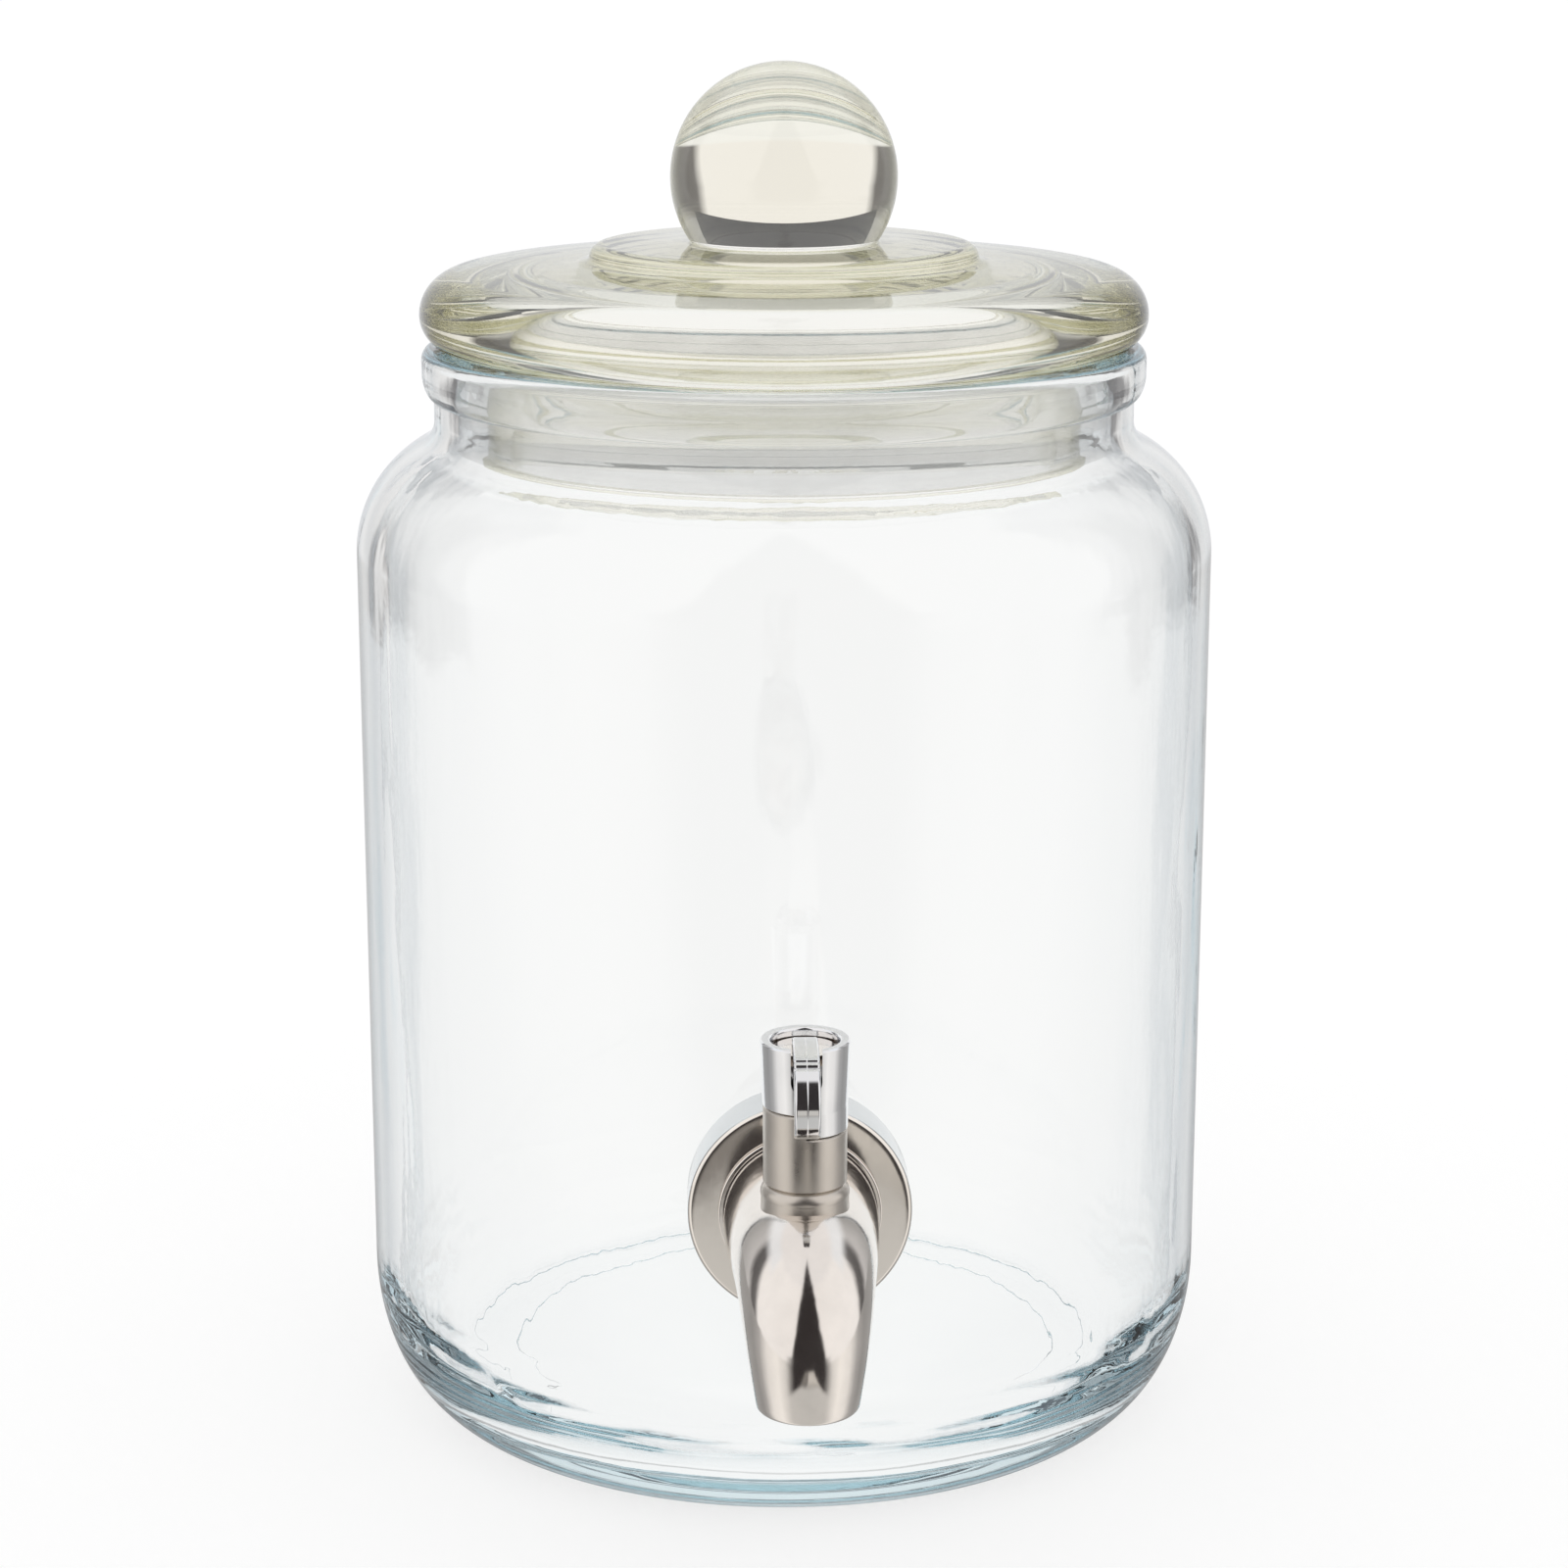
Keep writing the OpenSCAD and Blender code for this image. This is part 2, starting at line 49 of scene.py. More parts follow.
# ---------------------------------------------------------------- sizes of the jar

JAR_R = 75.0
JAR_H = 191.0
GLASS_T = 4.0
LEAST_GLASS_T = 2.4
BORE_R = JAR_R - GLASS_T
NECK_R = 61.0
MOUTH_R = NECK_R - GLASS_T
MOUTH_ROUND = 1.5
BEAD_OUT = 2.0
BEAD_H = 8.5
RIM_R = NECK_R + BEAD_OUT
NECK_LOW = JAR_H - BEAD_H - 4.1
SHOULDER_R = 21.0
BLEND_R = 4.8
CORNER_W = 15.0
CORNER_H = 26.0
KICK_H = 1.8
KICK_R = 49.5
FLOOR_T = 5.75
FLOOR_Z = KICK_H + FLOOR_T
FLOOR_CROWN = 0.3
FLOOR_CORNER_W = CORNER_W - 1
FLOOR_CORNER_H = CORNER_H - FLOOR_Z + 2
FOOT_R = JAR_R - CORNER_W
BASE_STEP = 0.22
BASE_RINGS = (KICK_R + 0.5, FOOT_R - 1.2)

# ---------------------------------------------------------------- sizes of the lid and its seal

LID_R = RIM_R + 0.2
EDGE_LOW = 5.6
EDGE_TOP = 7.3
CROWN_H = 1.3
CROWN_Z = JAR_H + EDGE_LOW + EDGE_TOP
PLATEAU_R = 33.7
PLATEAU_Z = CROWN_Z + CROWN_H + 3.3
RISER_W = 2.6
RISER_LOW_H = RISER_W / 2
RISER_TOP_H = RISER_W / 1.4
EDGE_END = 86
CROWN_BULGE = 0.8
ROOF_Z = CROWN_Z + CROWN_H - 6.0
ROOF_ROUND = 5.0
KNOB_R = 19.65
KNOB_Z = PLATEAU_Z + KNOB_R - 8.4
KNOB_NECK_R = 16.0
KNOB_FILLET = 1.0
SEAL_GAP = 0.15
SEAL_FIT = 0.02
SLEEVE_T = 2.2
PLUG_R = MOUTH_R - SEAL_GAP - SLEEVE_T - 3.0
PLUG_IN_R = PLUG_R - 4.2
PLUG_IN_ROUND = 1.0
PLUG_OUT_ROUND = 1.2
PLUG_Z = JAR_H - 22.0
PLUG_LIP_H = 2.4
PLUG_LIP_OUT = 1.2
SEAL_TOP = JAR_H - 2.0
SEAL_LOW = PLUG_Z + PLUG_LIP_H + 0.1
SEAL_LIPS = 3
SEAL_LIP_H = 4.0
SEAL_LIP_ROOT = 0.3
SEAL_LIP_EDGE = (1.8, 2.7)
SEAL_LIP_END = 3.7

# ---------------------------------------------------------------- sizes of the tap

TAP_Z = 62.3
VALVE_Y = JAR_R + 31.0
FRONT_Y = JAR_R + 10.0
HORN_Y = FRONT_Y + 0.9
HORN_R = 12.5
HORN_TAPER = 1.75
MOUTH_OUT_R = 7.9
MOUTH_BORE_R = 6.0
INLET_R = 4.6
SPOUT_LIP = ((2.4, 0.0), (1.5, 0.0), (0.7, 0.0), (0.45, 0.05), (0.2, 0.2), (0.06, 0.42), (0.0, 0.7))
BORE_EDGE = ((0.0, 0.35), (0.1, 0.12))
BORE_EDGE_L = 0.4
SPOUT_OUT = 14.0
SPOUT_DROP = 4.1
HORN_RUN = VALVE_Y - HORN_Y
HORN_BEND = SPOUT_OUT * math.pi / 2
HORN_LEN = HORN_RUN + HORN_BEND + SPOUT_DROP
COLLAR_R = 13.2
BOSS_R = COLLAR_R - 0.9
BOSS_Y = JAR_R + 4.0
SHANK_R = 7.9
SHANK_IN = 19.0
SHANK_CORE_R = SHANK_R - 0.3
SHANK_TIP_R = SHANK_R - 1.1
SHANK_TIP_L = 0.9
SHANK_FULL_Y = JAR_R - 6
THREAD_PITCH = 1.5
THREAD_TURNS = 8
THREAD_START = 1.6
THREAD_ROOT = (SHANK_R - 0.75, 0.7)
THREAD_CREST = (SHANK_R - 0.02, 0.12)
PLATE_R = 18.1
PLATE_T = 1.0
PLATE_EDGE = 0.8
PLATE_FALL = 0.10
PLATE_FIT = 0.02
BARREL_R = 6.5
BARREL_LOW = TAP_Z + 6
BARREL_Z = TAP_Z + 22.1
BARREL_EDGE = 0.25
BARREL_FOOT_R = BARREL_R - 0.4
ROLL_R = 1.7
ROLL_OUT = 0.4
ROLL_Z = TAP_Z + HORN_R - 0.8
ROLL_LOW = ROLL_Z - 3.2
ROLL_TOP = ROLL_Z + 1.9
STOP_Z = BARREL_Z + 3.6
STOP_ARC = 135.0
STOP_SLACK = 0.6
CHAMBER_R = 5.05

# ---------------------------------------------------------------- sizes of the cap and lever

CAP_GAP = 0.2
CAP_Z = STOP_Z + CAP_GAP
CAP_LIFT = 0.15
SKIRT_SUNK = 0.6
CAP_TOP = STOP_Z + 10.7
CAP_R = 6.95
CAP_LOW_R = BARREL_R + 0.1
CAP_BORE_R = 5.3
CAP_EDGE = 0.25
CAP_BORE_EDGE = 0.5
HEAD_Z = CAP_TOP - 1.4
LEVER_W = 4.0
LEVER_TOP = CAP_TOP - 0.15
LEVER_BACK = 1.1
LEVER_OUT = 12.6
LEVER_TIP = CAP_TOP - 13.5
LEVER_TIP_R = 0.9
LEVER_TIP_OUT = LEVER_OUT - 4.2
LEDGES = ((5.6, 1.05, 1.35), (4.6, 1.5, 1.95))
LEDGE_W = 0.1
CURL_R = 6.0
CURL_Z = LEVER_TIP + CURL_R - 0.15
HOLLOW_OUT = LEVER_OUT - 7.2
HOLLOW_W = 3.0
HOLLOW_H = 2.4
PARTING_H = 0.03
STEM_R = 3.5
SLOT_GAP = 0.4
SLOT_Z = CAP_TOP - 7.4
SLOT_R = LEVER_W / 2 + SLOT_GAP
LEVER_LOW_Z = SLOT_Z + SLOT_R - math.sqrt(SLOT_R ** 2 - LEVER_W ** 2 / 4) + SLOT_GAP / 2
TENON_Z = HEAD_Z - 4.2


# ---------------------------------------------------------------- outlines

def oval(x, z, rx, rz, a0, a1, n):
    """Points on part of an oval, between two angles in degrees."""
    points = []
    for i in range(n + 1):
        a = math.radians(a0 + (a1 - a0) * i / n)
        points.append((x + rx * math.cos(a), z + rz * math.sin(a)))
    return points


def arc(x, z, r, a0, a1, n):
    """Points on part of a circle, between two angles in degrees."""
    return oval(x, z, r, r, a0, a1, n)


def upright(r, z0, z1, n):
    """Points between two heights on a straight wall, without its ends."""
    return [(r, z0 + (z1 - z0) * i / n) for i in range(1, n)]


def soften(points, radius, closed=False, least=18):
    """Rounds each corner of a polyline that turns by more than `least` degrees."""
    steps = 5
    done = []
    count = len(points)
    for i, here in enumerate(points):
        if not closed and i in (0, count - 1):
            done.append(here)
            continue
        p = Vector(here)
        a = Vector(points[i - 1]) - p
        b = Vector(points[(i + 1) % count]) - p
        if a.length < 1e-6 or b.length < 1e-6:
            continue
        turn = math.pi - a.angle(b)
        if math.degrees(turn) < least:
            done.append(here)
            continue
        cut_back = min(radius * math.tan(turn / 2), a.length * 0.45, b.length * 0.45)
        start = p + a.normalized() * cut_back
        end = p + b.normalized() * cut_back
        for k in range(steps + 1):
            t = k / steps
            q = start * (1 - t) ** 2 + p * 2 * t * (1 - t) + end * t ** 2
            done.append((q.x, q.y))
    return done


def inset(points, amount):
    """Moves a closed outline inwards along its corner normals."""
    done = []
    count = len(points)
    for i in range(count):
        a = Vector(points[i - 1])
        p = Vector(points[i])
        b = Vector(points[(i + 1) % count])
        d = (p - a).normalized() + (b - p).normalized()
        if d.length < 1e-6:
            done.append(points[i])
            continue
        d.normalize()
        done.append((p.x + d.y * amount, p.y - d.x * amount))
    return done


# ---------------------------------------------------------------- meshes

def lathe(bm, profile, sides=192, closed=False, place=None, wobble=None):
    """Revolves a half section about Z into the mesh. Points on the axis become one vertex."""
    rings = []
    for i, (r, z) in enumerate(profile):
        if r < 1e-6:
            rings.append([bm.verts.new((0, 0, z))])
            continue
        ring = []
        for k in range(sides):
            a = 2 * math.pi * k / sides
            rr, zz = (r, z) if wobble is None else wobble(r, z, a, i)
            ring.append(bm.verts.new((rr * math.cos(a), rr * math.sin(a), zz)))
        rings.append(ring)
    pairs = list(zip(rings, rings[1:]))
    if closed:
        pairs.append((rings[-1], rings[0]))
    for low, high in pairs:
        for k in range(sides):
            j = (k + 1) % sides
            if len(low) == 1 and len(high) == 1:
                continue
            if len(low) == 1:
                bm.faces.new((low[0], high[j], high[k]))
            elif len(high) == 1:
                bm.faces.new((low[k], low[j], high[0]))
            else:
                bm.faces.new((low[k], low[j], high[j], high[k]))
    if place is not None:
        for ring in rings:
            for v in ring:
                v.co = place(v.co)


def loft(bm, rings):
    """Skins a stack of equal rings of points and closes both ends."""
    rows = [[bm.verts.new(p) for p in ring] for ring in rings]
    n = len(rows[0])
    for low, high in zip(rows, rows[1:]):
        for k in range(n):
            j = (k + 1) % n
            bm.faces.new((low[k], low[j], high[j], high[k]))
    bm.faces.new(rows[0][::-1])
    bm.faces.new(rows[-1])


def sector(bm, r_in, r_out, z0, z1, a0, a1, bevel, place):
    """A part of a ring with bevelled upper edges, between two angles in degrees."""
    steps = 48
    section = [(r_in, z0), (r_out, z0), (r_out, z1 - bevel), (r_out - bevel, z1)]
    section += [(r_in + bevel, z1), (r_in, z1 - bevel)]
    rings = []
    for i in range(steps + 1):
        a = math.radians(a0 + (a1 - a0) * i / steps)
        rings.append([place(Vector((r * math.cos(a), r * math.sin(a), z))) for r, z in section])
    loft(bm, rings)


def on_tap(co):
    """Local z out of the jar, local y up, on the tap's horizontal axis."""
    return Vector((co.x, -co.z, co.y + TAP_Z))


def on_valve(co):
    """Local z up, on the valve's upright axis."""
    return Vector((co.x, co.y - VALVE_Y, co.z))


# Angle about an upright axis that points away from the jar, in degrees.
FORWARD = 270


def mesh_in_metres(name, bm):
    bmesh.ops.recalc_face_normals(bm, faces=bm.faces)
    bmesh.ops.scale(bm, vec=(MM, MM, MM), verts=bm.verts)
    mesh = bpy.data.meshes.new(name)
    bm.to_mesh(mesh)
    bm.free()
    return mesh


def in_scene(name, data):
    obj = bpy.data.objects.new(name, data)
    bpy.context.scene.collection.objects.link(obj)
    return obj


def piece(name, bm, body, look, replaces=(), sharp=None):
    """Turns a mesh in millimetres into a smooth piece that rides on a body."""
    mesh = mesh_in_metres(name, bm)
    obj = in_scene(name, mesh)
    for face in mesh.polygons:
        face.use_smooth = True
    if sharp is not None:
        mesh.set_sharp_from_angle(angle=math.radians(sharp))
    mesh.materials.append(look)
    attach(obj, body)
    if replaces:
        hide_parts(*replaces)
    return obj


def cut(obj, cutter_bm, sharp):
    """Subtracts a closed mesh, in millimetres, from a piece, and marks its sharp edges anew."""
    mesh = mesh_in_metres("cutter", cutter_bm)
    cutter = in_scene("cutter", mesh)
    modifier = obj.modifiers.new("cut", "BOOLEAN")
    modifier.operation = "DIFFERENCE"
    modifier.solver = "EXACT"
    modifier.object = cutter
    graph = bpy.context.evaluated_depsgraph_get()
    done = bpy.data.meshes.new_from_object(obj.evaluated_get(graph))
    obj.modifiers.clear()
    obj.data = done
    bpy.data.objects.remove(cutter)
    bpy.data.meshes.remove(mesh)
    done.set_sharp_from_angle(angle=math.radians(sharp))


# ---------------------------------------------------------------- node trees

class Shader:
    """A small writer of node trees: most methods add nodes and return an output socket."""

    def __init__(self, tree):
        self.tree = tree
        self.tree.nodes.clear()

    def node(self, kind, **inputs):
        made = self.tree.nodes.new(kind)
        for key, value in inputs.items():
            self.set(made, key, value)
        return made

    def set(self, made, key, value):
        """Links or sets an input, by its name with _ for each space or by its number as _0, _1, ..."""
        numbered = key[0] == "_" and key[1:].isdigit()
        socket = made.inputs[int(key[1:]) if numbered else key.replace("_", " ")]
        if isinstance(value, bpy.types.NodeSocket):
            self.tree.links.new(value, socket)
        else:
            socket.default_value = value

    def math(self, operation, a, b=0.0, c=0.0):
        made = self.tree.nodes.new("ShaderNodeMath")
        made.operation = operation
        for i, value in enumerate((a, b, c)):
            self.set(made, f"_{i}", value)
        return made.outputs[0]

    def times(self, first, *others):
        for other in others:
            first = self.math("MULTIPLY", first, other)
        return first

    def position(self):
        return self.tree.nodes.new("ShaderNodeTexCoord").outputs["Object"]

    def normal(self):
        return self.tree.nodes.new("ShaderNodeNewGeometry").outputs["Normal"]

    def light_path(self, what):
        return self.tree.nodes.new("ShaderNodeLightPath").outputs[what]

    def split(self, vector):
        """The vector's x, y and z."""
        return self.node("ShaderNodeSeparateXYZ", Vector=vector).outputs

    def scaled(self, vector, scale):
        made = self.tree.nodes.new("ShaderNodeMapping")
        self.tree.links.new(vector, made.inputs["Vector"])
        made.inputs["Scale"].default_value = scale
        return made.outputs[0]

    def noise(self, vector, scale, detail=2.0, roughness=0.5):
        made = self.node(
            "ShaderNodeTexNoise", Vector=vector, Scale=scale, Detail=detail, Roughness=roughness)
        return made.outputs[0]

    def ramp(self, value, stops):
        """Colour by a value from 0 to 1, from stops of (value, colour)."""
        made = self.tree.nodes.new("ShaderNodeValToRGB")
        elements = made.color_ramp.elements
        while len(elements) < len(stops):
            elements.new(0.5)
        for element, (place, colour) in zip(elements, stops):
            element.position = place
            element.color = (*colour, 1.0)
        self.tree.links.new(value, made.inputs[0])
        return made.outputs[0]

    def span(self, value, low, high, to_low, to_high, kind="LINEAR"):
        made = self.tree.nodes.new("ShaderNodeMapRange")
        made.interpolation_type = kind
        for i, v in enumerate((value, low, high, to_low, to_high)):
            self.set(made, f"_{i}", v)
        return made.outputs[0]

    def step(self, value, low, high):
        """Smooth 0 to 1 as the value goes from low to high."""
        return self.span(value, low, high, 0.0, 1.0, "SMOOTHSTEP")

    def mix(self, factor, a, b):
        """Mixes two colours, which are sockets 6 and 7 of the node."""
        made = self.tree.nodes.new("ShaderNodeMix")
        made.data_type = "RGBA"
        for i, v in ((0, factor), (6, a), (7, b)):
            self.set(made, f"_{i}", v if isinstance(v, (bpy.types.NodeSocket, float)) else (*v, 1.0))
        return made.outputs[2]

    def bump(self, height, distance, normal=None):
        made = self.node("ShaderNodeBump", Height=height, Distance=distance, Strength=1.0)
        if normal is not None:
            self.tree.links.new(normal, made.inputs["Normal"])
        return made.outputs[0]

    def facing(self):
        """0 where the surface faces the viewer, 1 where it turns away."""
        return self.node("ShaderNodeLayerWeight", Blend=0.5).outputs["Facing"]

    def principled(self, **inputs):
        return self.node("ShaderNodeBsdfPrincipled", **inputs).outputs[0]

    def glow(self, colour, strength=1.0):
        return self.node("ShaderNodeEmission", Color=colour, Strength=strength).outputs[0]

    def either(self, factor, first, second):
        """The first shader where the factor is 0, the second where it is 1."""
        return self.node("ShaderNodeMixShader", _0=factor, _1=first, _2=second).outputs[0]

    def surface(self, socket, volume=None):
        out = self.tree.nodes.new("ShaderNodeOutputMaterial")
        self.tree.links.new(socket, out.inputs["Surface"])
        if volume is not None:
            self.tree.links.new(volume, out.inputs["Volume"])


def material(name):
    made = bpy.data.materials.new(name)
    made.use_nodes = True
    return made, Shader(made.node_tree)


# ---------------------------------------------------------------- materials

def glass(name, outline, tint, density, waves, peel, mottle, calm_below=None):
    """Clear glass with an uneven skin. `outline` is painted shade and light at its edges: a colour by how
    far it turns away.

    `tint` and `density` colour its depth, `waves` and `peel` are heights of streaks and dimples, and
    `mottle` is how far patches shift that painted edge shade. The skin is calmest below `calm_below`.
    """
    calmest = 0.15
    made, s = material(name)
    where = s.position()
    streaks = s.noise(s.scaled(where, (60, 60, 9)), 1.0, 3.0)
    dimples = s.noise(where, 330.0)
    patches = s.noise(s.scaled(where, (45, 45, 14)), 1.0)
    turned = s.math("ADD", s.facing(), s.times(s.math("SUBTRACT", patches, 0.5), mottle))
    # Painted shade and light: dark and pale lines where the glass turns away from the viewer.
    colour = s.ramp(turned, outline)
    if calm_below:
        above = s.step(s.split(where)[2], calm_below - 0.001, calm_below + 0.003)
        kept = s.math("ADD", s.times(above, 1 - calmest), calmest)
        streaks = s.times(streaks, kept)
        dimples = s.times(dimples, kept)
    skin = s.bump(dimples, peel, normal=s.bump(streaks, waves))
    body = s.principled(Base_Color=colour, Roughness=0.0, IOR=1.5, Transmission_Weight=1.0, Normal=skin)
    depth = s.node("ShaderNodeVolumeAbsorption", Color=(*tint, 1.0), Density=density).outputs[0]
    s.surface(body, depth)
    return made


def silicone(name):
    """Milky, see-through silicone."""
    made, s = material(name)
    cloud = s.noise(s.position(), 90.0, 3.0)
    colour = s.ramp(cloud, [(0.3, (0.975, 0.985, 0.985)), (0.7, (0.995, 0.996, 0.994))])
    rough = s.span(cloud, 0.3, 0.7, 0.28, 0.40)
    haze = s.span(cloud, 0.3, 0.7, 0.16, 0.24)
    s.surface(s.principled(Base_Color=colour, Roughness=rough, IOR=1.3, Alpha=haze))
    return made


def steel(name, colour, rough, low=0.9, grain=1.0, rim=None):
    """Polished casting: warm metal with soft clouds and fine polishing lines.

    `low` is how dark the clouds get, `grain` scales the bumps and `rim` is a painted reflection colour for
    what turns from the front.
    """
    made, s = material(name)
    where = s.position()
    cloud = s.noise(where, 140.0, 4.0, 0.6)
    tone = s.ramp(cloud, [(0.3, tuple(c * low for c in colour)), (0.7, colour)])
    if rim:
        # Painted reflection: faces turned from the front take the `rim` colour instead of the metal's own
        # tone.
        tone = s.mix(s.step(s.split(s.normal())[1], -0.55, -0.25), tone, rim)
    lines = s.noise(s.scaled(where, (2600, 2600, 260)), 1.0)
    gloss = s.span(cloud, 0.3, 0.7, rough * 0.75, rough * 1.3)
    gloss = s.math("ADD", gloss, s.span(lines, 0.3, 0.7, 0.0, 0.03))
    waves = s.bump(s.noise(where, 180.0), 0.00006 * grain)
    fine = s.bump(lines, 0.0000015 * grain, normal=waves)
    s.surface(s.principled(Base_Color=tone, Metallic=1.0, Roughness=gloss, Normal=fine))
    return made


def chrome(name):
    """Bright plating, duller on faces that look straight up."""
    made, s = material(name)
    where = s.position()
    cloud = s.noise(where, 160.0, 3.0)
    tone = s.ramp(cloud, [(0.3, (0.86, 0.87, 0.89)), (0.7, (0.91, 0.92, 0.935))])
    gloss = s.span(s.noise(where, 420.0, 3.0), 0.3, 0.7, 0.05, 0.10)
    upward = s.step(s.split(s.normal())[2], 0.93, 0.985)
    gloss = s.math("ADD", gloss, s.times(upward, 0.30))
    skin = s.bump(s.noise(where, 260.0), 0.000012)
    s.surface(s.principled(Base_Color=tone, Metallic=1.0, Roughness=gloss, Normal=skin))
    return made


def plain(name, colour, rough, scale, metallic=0.0):
    """Metal, rubber or plastic of small hidden parts, with clouds of the given scale."""
    made, s = material(name)
    where = s.position()
    cloud = s.noise(where, scale, 3.0)
    tone = s.ramp(cloud, [(0.3, tuple(c * 0.85 for c in colour)), (0.7, colour)])
    gloss = s.span(cloud, 0.3, 0.7, rough * 0.85, rough * 1.15)
    skin = s.bump(s.noise(where, scale * 6), 0.00001)
    s.surface(s.principled(Base_Color=tone, Metallic=metallic, Roughness=gloss, Normal=skin))
    return made


# Painted shade and light at the jar's edges: dark and pale lines by how far the glass turns away.
JAR_EDGE_SHADE = [
    (0.0, (0.995, 0.995, 0.993)),
    (0.50, (0.99, 0.992, 0.993)),
    (0.66, (0.94, 0.95, 0.956)),
    (0.76, (0.64, 0.68, 0.715)),
    (0.83, (0.84, 0.87, 0.89)),
    (0.90, (0.40, 0.44, 0.48)),
    (1.0, (0.24, 0.28, 0.33)),
]
# Partly the lid glass's own olive tint, partly painted shade: darker olive towards its edges.
LID_TINT_AND_EDGE_SHADE = [
    (0.0, (0.995, 0.992, 0.986)),
    (0.54, (0.985, 0.982, 0.97)),
    (0.70, (0.86, 0.855, 0.775)),
    (0.83, (0.50, 0.495, 0.375)),
    (1.0, (0.20, 0.20, 0.13)),
]
JAR_GLASS = glass(
    "jar_glass", JAR_EDGE_SHADE, tint=(0.60, 0.84, 0.93), density=5.5,
    waves=0.00020, peel=0.000008, mottle=0.16, calm_below=0.008)
LID_GLASS = glass(
    "lid_glass", LID_TINT_AND_EDGE_SHADE, tint=(0.87, 0.86, 0.72), density=14.0,
    waves=0.00006, peel=0.000004, mottle=0.10)
SILICONE = silicone("seal_silicone")
STEEL = steel("spout_steel", (0.925, 0.88, 0.835), rough=0.085)
# The plate's `rim` is a painted reflection: a cool bluish grey on its sides.
PLATE_STEEL = steel(
    "plate_steel", (0.95, 0.905, 0.85), rough=0.11, low=0.95, grain=0.6, rim=(0.71, 0.74, 0.76))
BARREL_STEEL = steel("barrel_steel", (0.68, 0.635, 0.58), rough=0.30, low=0.95, grain=0.4)
CHROME = chrome("trim_chrome")
FITTING = plain("fitting_steel", (0.66, 0.65, 0.63), rough=0.28, scale=220.0, metallic=1.0)
RUBBER = plain("ring_rubber", (0.03, 0.03, 0.03), rough=0.6, scale=300.0)
PLASTIC = plain("washer_plastic", (0.86, 0.86, 0.83), rough=0.45, scale=260.0)


# ---------------------------------------------------------------- jar

def jar_profile():
    """Half sections of the outside, from the middle of the base, and of the inside, from the rim."""
    shoulder_in = NECK_R + BLEND_R - (JAR_R - SHOULDER_R)
    shoulder_rise = math.sqrt((SHOULDER_R + BLEND_R) ** 2 - shoulder_in ** 2)
    shoulder_z = NECK_LOW - shoulder_rise
    shoulder_a = math.degrees(math.atan2(shoulder_rise, shoulder_in))

    under = [(0, 2 * BASE_STEP), (KICK_R * 0.5, 2 * BASE_STEP)]
    for edge, low in zip(BASE_RINGS, (BASE_STEP, 0.0)):
        top = low + BASE_STEP
        under += [(edge - 0.2, top), (edge, top), (edge + 0.04, low), (edge + 0.24, low)]

    outer = oval(JAR_R - CORNER_W, CORNER_H, CORNER_W, CORNER_H, 270, 360, 40)
    outer += upright(JAR_R, CORNER_H, shoulder_z, 30)
    outer += arc(JAR_R - SHOULDER_R, shoulder_z, SHOULDER_R, 0, shoulder_a, 26)
    outer += arc(NECK_R + BLEND_R, NECK_LOW, BLEND_R, 180 + shoulder_a, 180, 10)[1:]
    outer += oval(NECK_R, JAR_H - BEAD_H / 2, BEAD_OUT, BEAD_H / 2, 270, 360, 10)
    outer += arc(RIM_R - BEAD_OUT, JAR_H - BEAD_OUT, BEAD_OUT, 0, 90, 10)

    wall_low = FLOOR_Z + FLOOR_CORNER_H
    inner = arc(MOUTH_R + MOUTH_ROUND, JAR_H - MOUTH_ROUND, MOUTH_ROUND, 90, 180, 8)
    inner += upright(MOUTH_R, JAR_H - MOUTH_ROUND, NECK_LOW, 4)
    inner += arc(NECK_R + BLEND_R, NECK_LOW, BLEND_R + GLASS_T, 180, 180 + shoulder_a, 12)
    inner += arc(JAR_R - SHOULDER_R, shoulder_z, SHOULDER_R - GLASS_T, shoulder_a, 0, 24)[1:]
    inner += upright(BORE_R, shoulder_z, wall_low, 36)
    inner += oval(BORE_R - FLOOR_CORNER_W, wall_low, FLOOR_CORNER_W, FLOOR_CORNER_H, 0, -90, 30)
    inner += [(r, FLOOR_Z + FLOOR_CROWN * math.cos(math.radians(r * 1.5))) for r in range(50, -1, -10)]
    return under + soften(outer, 0.8), soften(inner, 0.8)


# Unevenness of the glass: how finely it changes round the wall and up it, its seed, and its depth.
SLOW_WAVES = (2.2, 0.018, 0, 0.40)
FINE_WAVES = (9.0, 0.05, 7, 0.10)
FOLDS = (5.0, 0.42, 3, 0.35)
FOLD_Z = 17.0
FOLD_REACH = 14.0


def clamped(value):
    return min(1.0, max(0.0, value))


def uneven(a, z, kind):
    round_wall, up_wall, seed, depth = kind
    at = Vector((math.cos(a) * round_wall, math.sin(a) * round_wall, z * up_wall + seed))
    return noise.noise(at) * depth


def jar_wobble(first_inner):
    """Uneven inside of a blown wall: slow waves up the side, stronger folds in the bottom corner."""
    even_above = JAR_H - 14
    fade_h = 20.0
    middle_r = 55.0
    rise_h = 4.0

    def move(r, z, a, i):
        if i < first_inner or z > even_above:
            return r, z
        near_corner = max(0.0, 1.0 - abs(z - FOLD_Z) / FOLD_REACH)
        below_neck = clamped((even_above - z) / fade_h)
        off_axis = min(1.0, r / middle_r)
        above_floor = clamped((z - FLOOR_Z - 0.5) / rise_h)
        push = (uneven(a, z, SLOW_WAVES) + uneven(a, z, FINE_WAVES)) * below_neck
        push += uneven(a, z, FOLDS) * near_corner
        return min(r + push * off_axis * above_floor, JAR_R - LEAST_GLASS_T), z

    return move


def make_jar():
    outer, inner = jar_profile()
    bm = bmesh.new()
    lathe(bm, outer + inner, sides=256, wobble=jar_wobble(len(outer)))
    piece("jar_shell", bm, "jar", JAR_GLASS, ["glass_jar"])


# ---------------------------------------------------------------- lid and its seal

